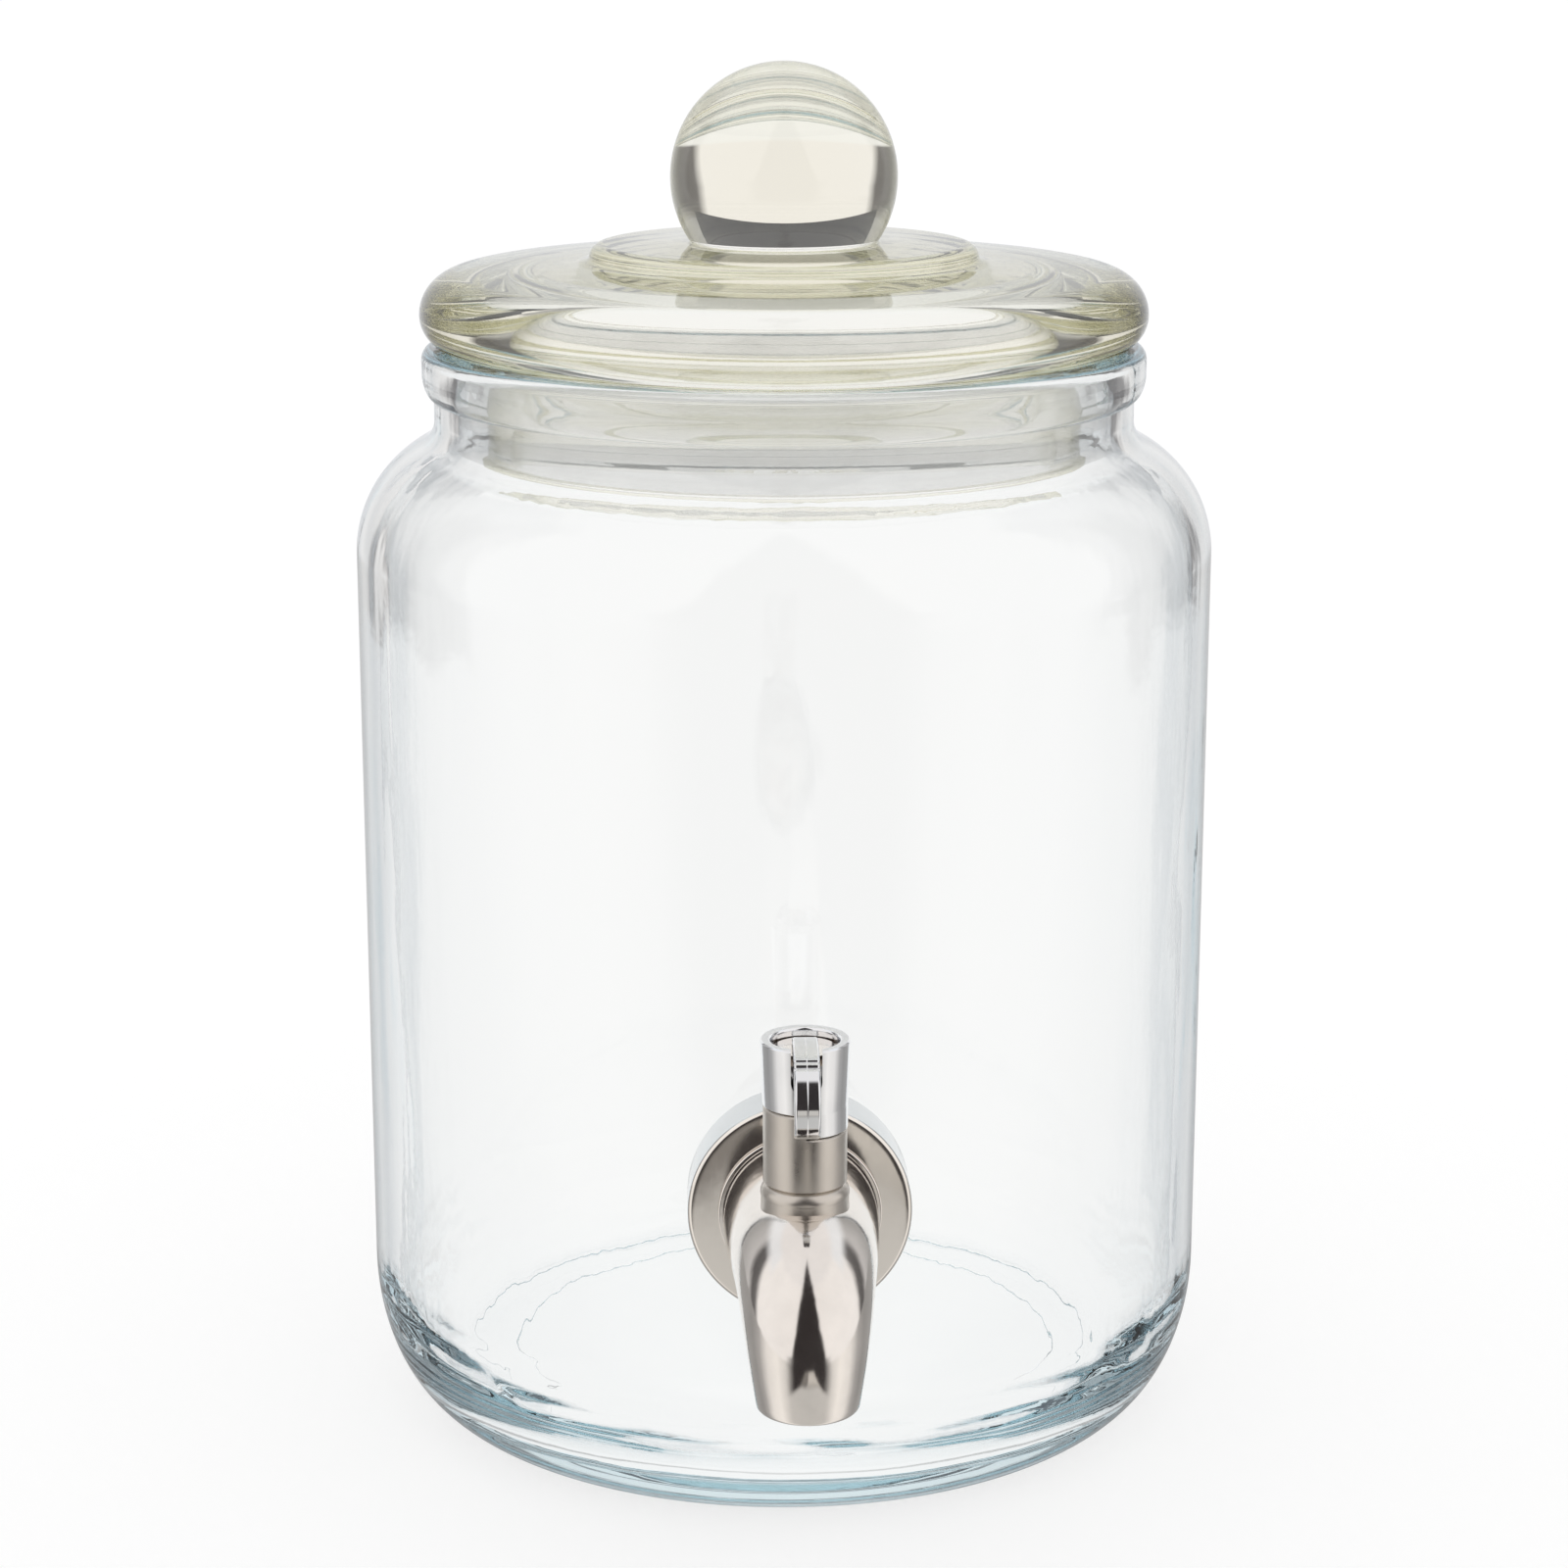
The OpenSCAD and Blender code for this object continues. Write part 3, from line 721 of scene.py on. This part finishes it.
def lid_profile():
    """Half section of the lid, from its roof down inside the plug, round the edge and up to the knob."""
    lip_r = PLUG_R + PLUG_LIP_OUT
    lip_top = PLUG_Z + PLUG_LIP_H
    low = [(0, ROOF_Z)]
    low += arc(PLUG_IN_R - ROOF_ROUND, ROOF_Z - ROOF_ROUND, ROOF_ROUND, 90, 0, 10)
    low += [(PLUG_IN_R, PLUG_Z + PLUG_IN_ROUND + 0.4)]
    low += arc(PLUG_IN_R + PLUG_IN_ROUND, PLUG_Z + PLUG_IN_ROUND, PLUG_IN_ROUND, 180, 270, 6)
    low += arc(lip_r - PLUG_OUT_ROUND, PLUG_Z + PLUG_OUT_ROUND, PLUG_OUT_ROUND, 270, 360, 8)
    low += [(lip_r, lip_top), (PLUG_R, lip_top), (PLUG_R, JAR_H)]

    edge = arc(LID_R - EDGE_LOW, JAR_H + EDGE_LOW, EDGE_LOW, 270, 360, 18)
    edge += arc(LID_R - EDGE_TOP, JAR_H + EDGE_LOW, EDGE_TOP, 0, EDGE_END, 20)[1:]
    foot_z = CROWN_Z + CROWN_H
    foot = oval(PLATEAU_R + RISER_W, foot_z + RISER_LOW_H, RISER_W, RISER_LOW_H, 270, 180, 8)
    top = oval(PLATEAU_R - RISER_W, PLATEAU_Z - RISER_TOP_H, RISER_W, RISER_TOP_H, 0, 90, 12)
    r0, z0 = edge[-1]
    r1, z1 = foot[0]
    steps = 8
    crown = []
    for i in range(1, steps):
        crown.append((r0 + (r1 - r0) * i / steps, z0 + (z1 - z0) * (i / steps) ** CROWN_BULGE))

    neck = arc(KNOB_NECK_R + KNOB_FILLET, PLATEAU_Z + KNOB_FILLET, KNOB_FILLET, 270, 180, 6)
    meet = math.degrees(math.acos(KNOB_NECK_R / KNOB_R))
    ball = arc(0, KNOB_Z, KNOB_R, -meet, 90, 60)
    ball[-1] = (0, KNOB_Z + KNOB_R)
    return soften(low, 0.5) + edge + crown + foot + top + soften(neck + ball, 0.9)


def make_lid():
    bm = bmesh.new()
    lathe(bm, lid_profile(), sides=256)
    piece("lid_pressed", bm, "lid", LID_GLASS, ["glass_lid"])


def seal_profile():
    """Closed section of the sleeve, with its lips one above the other."""
    inside = PLUG_R + SEAL_FIT
    sleeve = PLUG_R + SLEEVE_T
    lip = MOUTH_R - SEAL_GAP
    pitch = (SEAL_TOP - SEAL_LOW - SEAL_LIP_H) / (SEAL_LIPS - 1)
    points = [(inside, SEAL_LOW), (sleeve, SEAL_LOW)]
    for i in range(SEAL_LIPS):
        z = SEAL_LOW + i * pitch
        if i:
            points.append((sleeve, z + SEAL_LIP_ROOT))
        points += [(lip, z + edge) for edge in SEAL_LIP_EDGE]
        points.append((sleeve, z + SEAL_LIP_END))
    points += [(sleeve, SEAL_TOP), (inside, SEAL_TOP)]
    return soften(points, 0.45, closed=True)


def make_seal():
    bm = bmesh.new()
    lathe(bm, seal_profile(), closed=True)
    piece("lid_seal", bm, "lid", SILICONE, ["lid_seal_ring"])


# ---------------------------------------------------------------- spigot

def station(s):
    """Middle line of the spout at distance s from the collar: distance out, height, angle turned."""
    if s <= HORN_RUN:
        return HORN_Y + s, TAP_Z, 0.0
    if s <= HORN_RUN + HORN_BEND:
        t = (s - HORN_RUN) / SPOUT_OUT
        return VALVE_Y + SPOUT_OUT * math.sin(t), TAP_Z - SPOUT_OUT * (1 - math.cos(t)), t
    return VALVE_Y + SPOUT_OUT, TAP_Z - SPOUT_OUT - (s - HORN_RUN - HORN_BEND), math.pi / 2


def spout_ring(s, r):
    """A circle of radius r across the spout's middle line."""
    sides = 72
    out, height, turn = station(s)
    ring = []
    for k in range(sides):
        a = 2 * math.pi * k / sides
        up = r * math.sin(a)
        ring.append((r * math.cos(a), -out - up * math.sin(turn), height + up * math.cos(turn)))
    return ring


def horn_r(s):
    """Outer radius of the spout at distance s from the collar."""
    return HORN_R - (HORN_R - MOUTH_OUT_R) * (max(s, 0.0) / HORN_LEN) ** HORN_TAPER


def make_horn():
    """The spout: outer skin, rounded lip and the widening bore, as one closed shell.

    SPOUT_LIP is written as (distance back from the mouth, distance in from the skin), and BORE_EDGE as
    (distance back from the mouth, distance out from the bore).
    """
    sunk = 0.4
    bend_steps = 40
    bore_steps = 23
    stations = [-sunk, 1.0] + [HORN_RUN * part for part in (0.3, 0.6, 0.85)]
    stations += [HORN_RUN + HORN_BEND * i / bend_steps for i in range(bend_steps + 1)]
    rings = [spout_ring(s, horn_r(s)) for s in stations]
    for back, inward in SPOUT_LIP:
        s = HORN_LEN - back
        rings.append(spout_ring(s, horn_r(s) - inward))
    for back, wider in BORE_EDGE:
        rings.append(spout_ring(HORN_LEN - back, MOUTH_BORE_R + wider))
    widen = (MOUTH_BORE_R - INLET_R) / (HORN_LEN - HORN_RUN)
    bore_end = HORN_LEN - BORE_EDGE_L
    for i in range(bore_steps + 1):
        s = bore_end - (bore_end - HORN_RUN) * i / bore_steps
        rings.append(spout_ring(s, INLET_R + widen * (s - HORN_RUN)))
    bm = bmesh.new()
    loft(bm, rings)
    piece("spout_horn", bm, "jar", STEEL)


def add_thread(bm, start):
    """Ridge of the shank's thread, as one long loft along its helix."""
    steps = 48
    root_r, root_half = THREAD_ROOT
    crest_r, crest_half = THREAD_CREST
    section = ((root_r, -root_half), (crest_r, -crest_half), (crest_r, crest_half), (root_r, root_half))
    rows = []
    for i in range(THREAD_TURNS * steps + 1):
        a = 2 * math.pi * i / steps
        z = start + THREAD_PITCH * i / steps
        rows.append([on_tap(Vector((r * math.cos(a), r * math.sin(a), z + dz))) for r, dz in section])
    loft(bm, rows)


def make_body():
    """Shank with its thread, boss and collar on the tap's axis."""
    bm = bmesh.new()
    start = BORE_R - SHANK_IN
    profile = [(INLET_R, start), (SHANK_TIP_R, start), (SHANK_CORE_R, start + SHANK_TIP_L)]
    profile += [(SHANK_R, SHANK_FULL_Y), (SHANK_R, BOSS_Y), (BOSS_R, BOSS_Y), (BOSS_R, FRONT_Y)]
    profile += [(COLLAR_R, FRONT_Y), (COLLAR_R, HORN_Y), (INLET_R, HORN_Y)]
    lathe(bm, soften(profile, 0.3, closed=True), sides=128, closed=True, place=on_tap)
    add_thread(bm, start + THREAD_START)
    piece("spout_shank", bm, "jar", STEEL, sharp=35)


def make_barrel():
    """Valve barrel with the roll at its foot and the stop step on its rim."""
    profile = [(CHAMBER_R, BARREL_LOW), (BARREL_FOOT_R, BARREL_LOW), (BARREL_R + ROLL_OUT, ROLL_LOW)]
    profile += arc(BARREL_R + ROLL_OUT - ROLL_R, ROLL_Z, ROLL_R, -20, 70, 14)
    profile += [(BARREL_R, ROLL_TOP), (BARREL_R, BARREL_Z - BARREL_EDGE)]
    profile += [(BARREL_R - BARREL_EDGE, BARREL_Z), (CHAMBER_R, BARREL_Z)]
    bm = bmesh.new()
    lathe(bm, soften(profile, 0.15, least=30), sides=128, closed=True, place=on_valve)
    sunk = 0.5
    step_start = FORWARD - STOP_ARC
    step_end = FORWARD - STOP_SLACK
    sector(bm, CHAMBER_R, BARREL_R, BARREL_Z - sunk, STOP_Z, step_start, step_end, BARREL_EDGE, on_valve)
    piece("spout_barrel", bm, "jar", BARREL_STEEL, ["spigot_body"], sharp=40)


def make_escutcheon():
    """Dished plate round the boss: its rim stands on the glass and its face falls a little outwards."""
    bore = BOSS_R + PLATE_FIT
    under = FRONT_Y - PLATE_FALL - PLATE_T
    foot = JAR_R + 0.2
    inside = PLATE_R - PLATE_T
    face_r = PLATE_R - PLATE_EDGE
    profile = [(bore, FRONT_Y), (bore, under), (inside, under), (inside, foot), (PLATE_R, foot)]
    profile += arc(face_r, FRONT_Y - PLATE_FALL - PLATE_EDGE, PLATE_EDGE, 0, 85, 10)
    for i in range(7, -1, -1):
        t = i / 8
        profile.append((COLLAR_R + (face_r - COLLAR_R) * t, FRONT_Y - PLATE_FALL * t * t))
    bm = bmesh.new()
    lathe(bm, soften(profile, 0.15, closed=True, least=30), closed=True, place=on_tap)
    piece("escutcheon_plate", bm, "jar", PLATE_STEEL, ["escutcheon"], sharp=40)


# ---------------------------------------------------------------- cap and lever

def slot_cutter():
    """Round-ended slot for the lever through the front of the cap."""
    above = CAP_TOP + 3
    outline = [(-SLOT_R, above), (-SLOT_R, SLOT_Z + SLOT_R)]
    outline += arc(0, SLOT_Z + SLOT_R, SLOT_R, 180, 360, 24)[1:]
    outline += [(SLOT_R, above)]
    cutter = bmesh.new()
    loft(cutter, [[(x, -VALVE_Y - out, z) for x, z in outline] for out in (2.0, 12.0)])
    return cutter


def make_cap():
    """Plated sleeve with the lever's slot, and the skirt below it that meets the barrel's stop step."""
    low = CAP_Z + CAP_LIFT
    bore_edge = CAP_BORE_R + CAP_BORE_EDGE
    profile = [(CAP_BORE_R, low), (CAP_LOW_R, low)]
    profile += [(CAP_R, CAP_TOP - CAP_EDGE), (CAP_R - CAP_EDGE, CAP_TOP)]
    profile += arc(bore_edge, CAP_TOP - CAP_BORE_EDGE, CAP_BORE_EDGE, 90, 180, 8)
    bm = bmesh.new()
    lathe(bm, soften(profile, 0.12, closed=True, least=30), sides=160, closed=True, place=on_valve)
    cap = piece("cap_sleeve", bm, "handle", CHROME, ["handle_cap"])
    cut(cap, slot_cutter(), sharp=32)
    skirt = bmesh.new()
    skirt_low = BARREL_Z + CAP_GAP + CAP_LIFT
    skirt_top = CAP_Z + SKIRT_SUNK
    skirt_start = FORWARD + STOP_SLACK
    skirt_end = FORWARD + STOP_ARC - STOP_SLACK
    sector(skirt, CAP_BORE_R, CAP_LOW_R, skirt_low, skirt_top, skirt_start, skirt_end, 0.0, on_valve)
    piece("cap_skirt", skirt, "handle", CHROME, sharp=35)


def lever_outline():
    """Side view of the lever as (forward of the valve's axis, height).

    Tenon, top with its ledges, outside of the curl, tip, hollow of the curl, and underside. A ledge is
    written as (distance back from the curl's front, drop before it, drop after it).
    """
    points = [(-LEVER_BACK, TENON_Z), (-LEVER_BACK, LEVER_TOP), (STEM_R, LEVER_TOP)]
    for back, above, below in LEDGES:
        ledge = LEVER_OUT - back
        points += [(ledge, LEVER_TOP - above), (ledge + LEDGE_W, LEVER_TOP - below)]
    points += arc(LEVER_OUT - CURL_R, CURL_Z, CURL_R, 66, -62, 48)
    points += arc(LEVER_TIP_OUT, LEVER_TIP + LEVER_TIP_R + 0.2, LEVER_TIP_R, -70, -200, 10)
    points += oval(HOLLOW_OUT, SLOT_Z - HOLLOW_H, HOLLOW_W, HOLLOW_H + SLOT_GAP / 2, -10, 60, 12)
    neck = CAP_BORE_R + 0.1
    points += [(CAP_R, LEVER_LOW_Z), (neck, LEVER_LOW_Z), (neck, TENON_Z)]
    return points


def make_lever():
    """The blade, with rounded long edges and a fine parting line along its middle."""
    outline = soften(lever_outline(), 0.12, closed=True, least=30)
    half = LEVER_W / 2
    rounding = [(half, 0.34), (half - 0.1, 0.16), (half - 0.32, 0.0)]
    face = [(half - 0.42, 0.0), (0.16, 0.0), (0.07, 0.0)]
    right = rounding + face
    section = [(-side, depth) for side, depth in right] + [(0.0, -PARTING_H)] + right[::-1]
    rings = []
    for side, depth in section:
        rings.append([(side, -VALVE_Y - forward, z) for forward, z in inset(outline, depth)])
    bm = bmesh.new()
    loft(bm, rings)
    piece("lever_blade", bm, "handle", CHROME, ["lever"], sharp=38)


# ---------------------------------------------------------------- make everything

make_jar()
make_lid()
make_seal()
make_horn()
make_body()
make_barrel()
make_escutcheon()
make_cap()
make_lever()

# CAD pieces that show as they are, with the material of each.
CARRIED = {
    "outer_seal": SILICONE,
    "inner_seal": SILICONE,
    "backing_washer": FITTING,
    "lock_nut": FITTING,
    "valve_rotor": STEEL,
    "rotor_ring_upper": RUBBER,
    "rotor_ring_lower": RUBBER,
    "thrust_washer": PLASTIC,
    "retaining_clip": FITTING,
    "lever_pin": FITTING,
}
for node_name, look in CARRIED.items():
    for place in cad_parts[node_name].material_slots:
        place.material = look


# ---------------------------------------------------------------- studio

DARK = (0.035, 0.03, 0.03)
DOOR_HALF_W = 0.52
DOOR_TOP = 76.0

# What glass shows, what metal mirrors and what metal mirrors of the table, by degrees from the front.
SEEN_THROUGH = [
    (0, (0.94, 0.92, 0.90)),
    (94, (0.96, 0.95, 0.94)),
    (102, (0.20, 0.20, 0.205)),
    (126, (0.13, 0.125, 0.125)),
    (141, (0.18, 0.17, 0.17)),
    (147, (0.95, 0.92, 0.895)),
    (180, (0.95, 0.92, 0.895)),
]
MIRRORED = [
    (0, (0.94, 0.91, 0.89)),
    (101, (0.95, 0.93, 0.92)),
    (108, (0.14, 0.135, 0.135)),
    (117, (0.12, 0.115, 0.115)),
    (124, (0.58, 0.57, 0.57)),
    (140, (0.40, 0.395, 0.39)),
    (158, (0.80, 0.80, 0.81)),
    (180, (0.92, 0.93, 0.95)),
]
TABLE_SHINE = [
    (0, (0.56, 0.55, 0.53)),
    (36, (0.60, 0.585, 0.565)),
    (60, (0.95, 0.92, 0.885)),
    (82, (0.84, 0.815, 0.79)),
    (100, (0.42, 0.41, 0.405)),
    (116, (0.32, 0.315, 0.31)),
    (145, (0.38, 0.375, 0.37)),
    (165, (0.60, 0.595, 0.59)),
    (180, (0.70, 0.69, 0.68)),
]


def turned_from_front(s, side, back):
    """Angle about Z from the front, 0 to 180 degrees on both sides."""
    turn = s.math("ABSOLUTE", s.math("ARCTAN2", side, s.times(back, -1.0)))
    return s.times(turn, 180.0 / math.pi)


def around(s, turn, stops):
    """Colour by the angle from the front, from stops given in degrees."""
    return s.ramp(s.math("DIVIDE", turn, 180.0), [(at / 180.0, colour) for at, colour in stops])


def thin_glass_only(s):
    """1 for light through two faces of glass or fewer, such as through the ball or the jar's very edge."""
    return s.math("LESS_THAN", s.light_path("Transmission Depth"), 2.5)


def floor_seen_through(s, turn, away):
    """Floor as glass shows it: pale, with dark side gaps from about 0.7 m out for thin glass only."""
    far = s.times(s.step(away, 0.70, 0.78), thin_glass_only(s))
    return s.mix(far, (0.975, 0.97, 0.963), around(s, turn, SEEN_THROUGH))


def floor_mirrored(s, turn, away, x, ahead):
    """Floor as metal mirrors it: table, room, and a dark part in front with a lane and a brown patch.

    `turn` and `ahead` are measured from under the spout, and `ahead` is below 0 towards the camera.
    """
    table = s.step(away, 1.0, 0.8)
    shine = s.mix(table, around(s, turn, MIRRORED), around(s, turn, TABLE_SHINE))
    near_axis = s.step(s.math("ABSOLUTE", x), 0.070, 0.035)
    starts = s.math("ADD", ahead, s.times(near_axis, 0.085))
    beyond = s.times(s.step(turn, 46.0, 26.0), s.step(starts, -0.03, -0.11))
    shine = s.mix(beyond, shine, DARK)
    nearer = s.step(ahead, -0.48, -0.34)
    off_lane = s.math("ABSOLUTE", s.math("SUBTRACT", x, 0.022))
    lane = s.times(s.step(off_lane, 0.036, 0.026), nearer, beyond)
    shine = s.mix(lane, shine, (0.60, 0.57, 0.53))
    brown = s.times(s.step(x, -0.0125, -0.0155), s.step(x, -0.060, -0.035), beyond, nearer)
    return s.mix(brown, shine, (0.22, 0.205, 0.19))


def make_floor():
    """White floor that takes the object's shadow, with looks of its own for glass and for mirrors."""
    size = 30.0
    spout_out = 0.12
    mesh = bpy.data.meshes.new("floor")
    corners = [(-size, -size, 0), (size, -size, 0), (size, size, 0), (-size, size, 0)]
    mesh.from_pydata(corners, [], [(0, 1, 2, 3)])
    floor = in_scene("floor", mesh)
    made, s = material("floor_white")
    x, y, _ = s.split(s.position())
    ahead = s.math("ADD", y, spout_out)
    away = s.math("SQRT", s.math("ADD", s.times(x, x), s.times(y, y)))
    turn = turned_from_front(s, x, ahead)
    lit = s.node("ShaderNodeBsdfDiffuse", Color=(0.30, 0.30, 0.30, 1.0)).outputs[0]
    look = s.node("ShaderNodeAddShader", _0=lit, _1=s.glow((1.0, 1.0, 1.0, 1.0), 0.715)).outputs[0]
    look = s.either(s.light_path("Is Glossy Ray"), look, s.glow(floor_mirrored(s, turn, away, x, ahead)))
    look = s.either(s.light_path("Is Transmission Ray"), look, s.glow(floor_seen_through(s, turn, away)))
    s.surface(look)
    mesh.materials.append(made)


def make_card():
    """A dark card behind the jar, seen only through two faces of glass: the lower band of the ball."""
    steps = 24
    radius = 0.60
    half_arc = 42.0
    low = 0.325
    top = 0.60
    bm = bmesh.new()
    rows = []
    for z in (low, top):
        behind = arc(0, 0, radius, 90.0 - half_arc, 90.0 + half_arc, steps)
        rows.append([bm.verts.new((x, y, z)) for x, y in behind])
    for i in range(steps):
        bm.faces.new((rows[0][i], rows[0][i + 1], rows[1][i + 1], rows[1][i]))
    mesh = bpy.data.meshes.new("card")
    bm.to_mesh(mesh)
    bm.free()
    card = in_scene("card", mesh)
    made, s = material("card_dark")
    clear = s.tree.nodes.new("ShaderNodeBsdfTransparent").outputs[0]
    shown = s.times(s.light_path("Is Transmission Ray"), thin_glass_only(s))
    s.surface(s.either(shown, clear, s.glow((0.11, 0.11, 0.12, 1.0))))
    mesh.materials.append(made)


def room_seen_through(s, turn, rise, roof):
    """Room as glass shows it: pale, with dark side gaps for thin glass only, and a pale roof."""
    beside = s.times(s.step(turn, 112.0, 120.0), s.step(turn, 146.0, 140.0))
    raised = s.times(s.step(rise, 9.0, 18.0), beside)
    gaps = s.mix(raised, around(s, turn, SEEN_THROUGH), (0.42, 0.415, 0.41))
    room = s.mix(thin_glass_only(s), (0.965, 0.955, 0.945), gaps)
    return s.mix(roof, room, (0.97, 0.96, 0.95))


def room_mirrored(s, turn, rise, roof, side):
    """Room as metal mirrors it: walls, roof and a dark door in front that narrows to a point upwards."""
    upper_back = s.times(s.step(rise, 30.0, 44.0), s.step(turn, 84.0, 96.0))
    room = s.mix(upper_back, around(s, turn, MIRRORED), (0.88, 0.90, 0.93))
    room = s.mix(roof, room, (0.88, 0.86, 0.855))
    half_width = s.math("SUBTRACT", DOOR_HALF_W, s.times(rise, DOOR_HALF_W / DOOR_TOP))
    inside = s.math("SUBTRACT", half_width, s.math("ABSOLUTE", side))
    door = s.times(s.step(inside, -0.05, 0.03), s.step(turn, 90.0, 88.0))
    return s.mix(door, room, DARK)


def make_world():
    """White room that lights the object, with looks of its own for glass and for mirrors."""
    world = bpy.data.worlds.new("studio")
    bpy.context.scene.world = world
    world.use_nodes = True
    s = Shader(world.node_tree)
    side, back, up = s.split(s.tree.nodes.new("ShaderNodeTexCoord").outputs["Generated"])
    turn = turned_from_front(s, side, back)
    rise = s.times(s.math("ARCSINE", up), 180.0 / math.pi)
    roof = s.step(rise, 50.0, 60.0)
    colour = s.mix(s.light_path("Is Glossy Ray"), (1.0, 1.0, 1.0), room_mirrored(s, turn, rise, roof, side))
    colour = s.mix(s.light_path("Is Transmission Ray"), colour, room_seen_through(s, turn, rise, roof))
    glow = s.node("ShaderNodeBackground", Color=colour, Strength=1.0).outputs[0]
    out = s.tree.nodes.new("ShaderNodeOutputWorld")
    s.tree.links.new(glow, out.inputs["Surface"])


def make_camera():
    """Camera fitted to the photograph: where it looks, from which side, and its focal length in pixels."""
    turn = math.radians(1.75)
    pitch = math.radians(14.35)
    distance = 0.67025
    target_z = 0.1117
    focal_px = 3810.0
    frame_px = 1600.0
    target = Vector((0.0, 0.0, target_z))
    away = Vector((-math.sin(turn) * math.cos(pitch), -math.cos(turn) * math.cos(pitch), math.sin(pitch)))
    data = bpy.data.cameras.new("camera")
    data.sensor_width = 36.0
    data.lens = focal_px / frame_px * data.sensor_width
    data.clip_start = 0.01
    data.clip_end = 100.0
    camera = in_scene("camera", data)
    camera.location = target + away * distance
    camera.rotation_euler = (-away).to_track_quat("-Z", "Y").to_euler()
    bpy.context.scene.camera = camera


make_floor()
make_card()
make_world()
make_camera()
bpy.context.scene.view_settings.view_transform = "Standard"
bpy.context.scene.cycles.max_bounces = 32
bpy.context.scene.cycles.transmission_bounces = 32
bpy.context.scene.cycles.glossy_bounces = 32
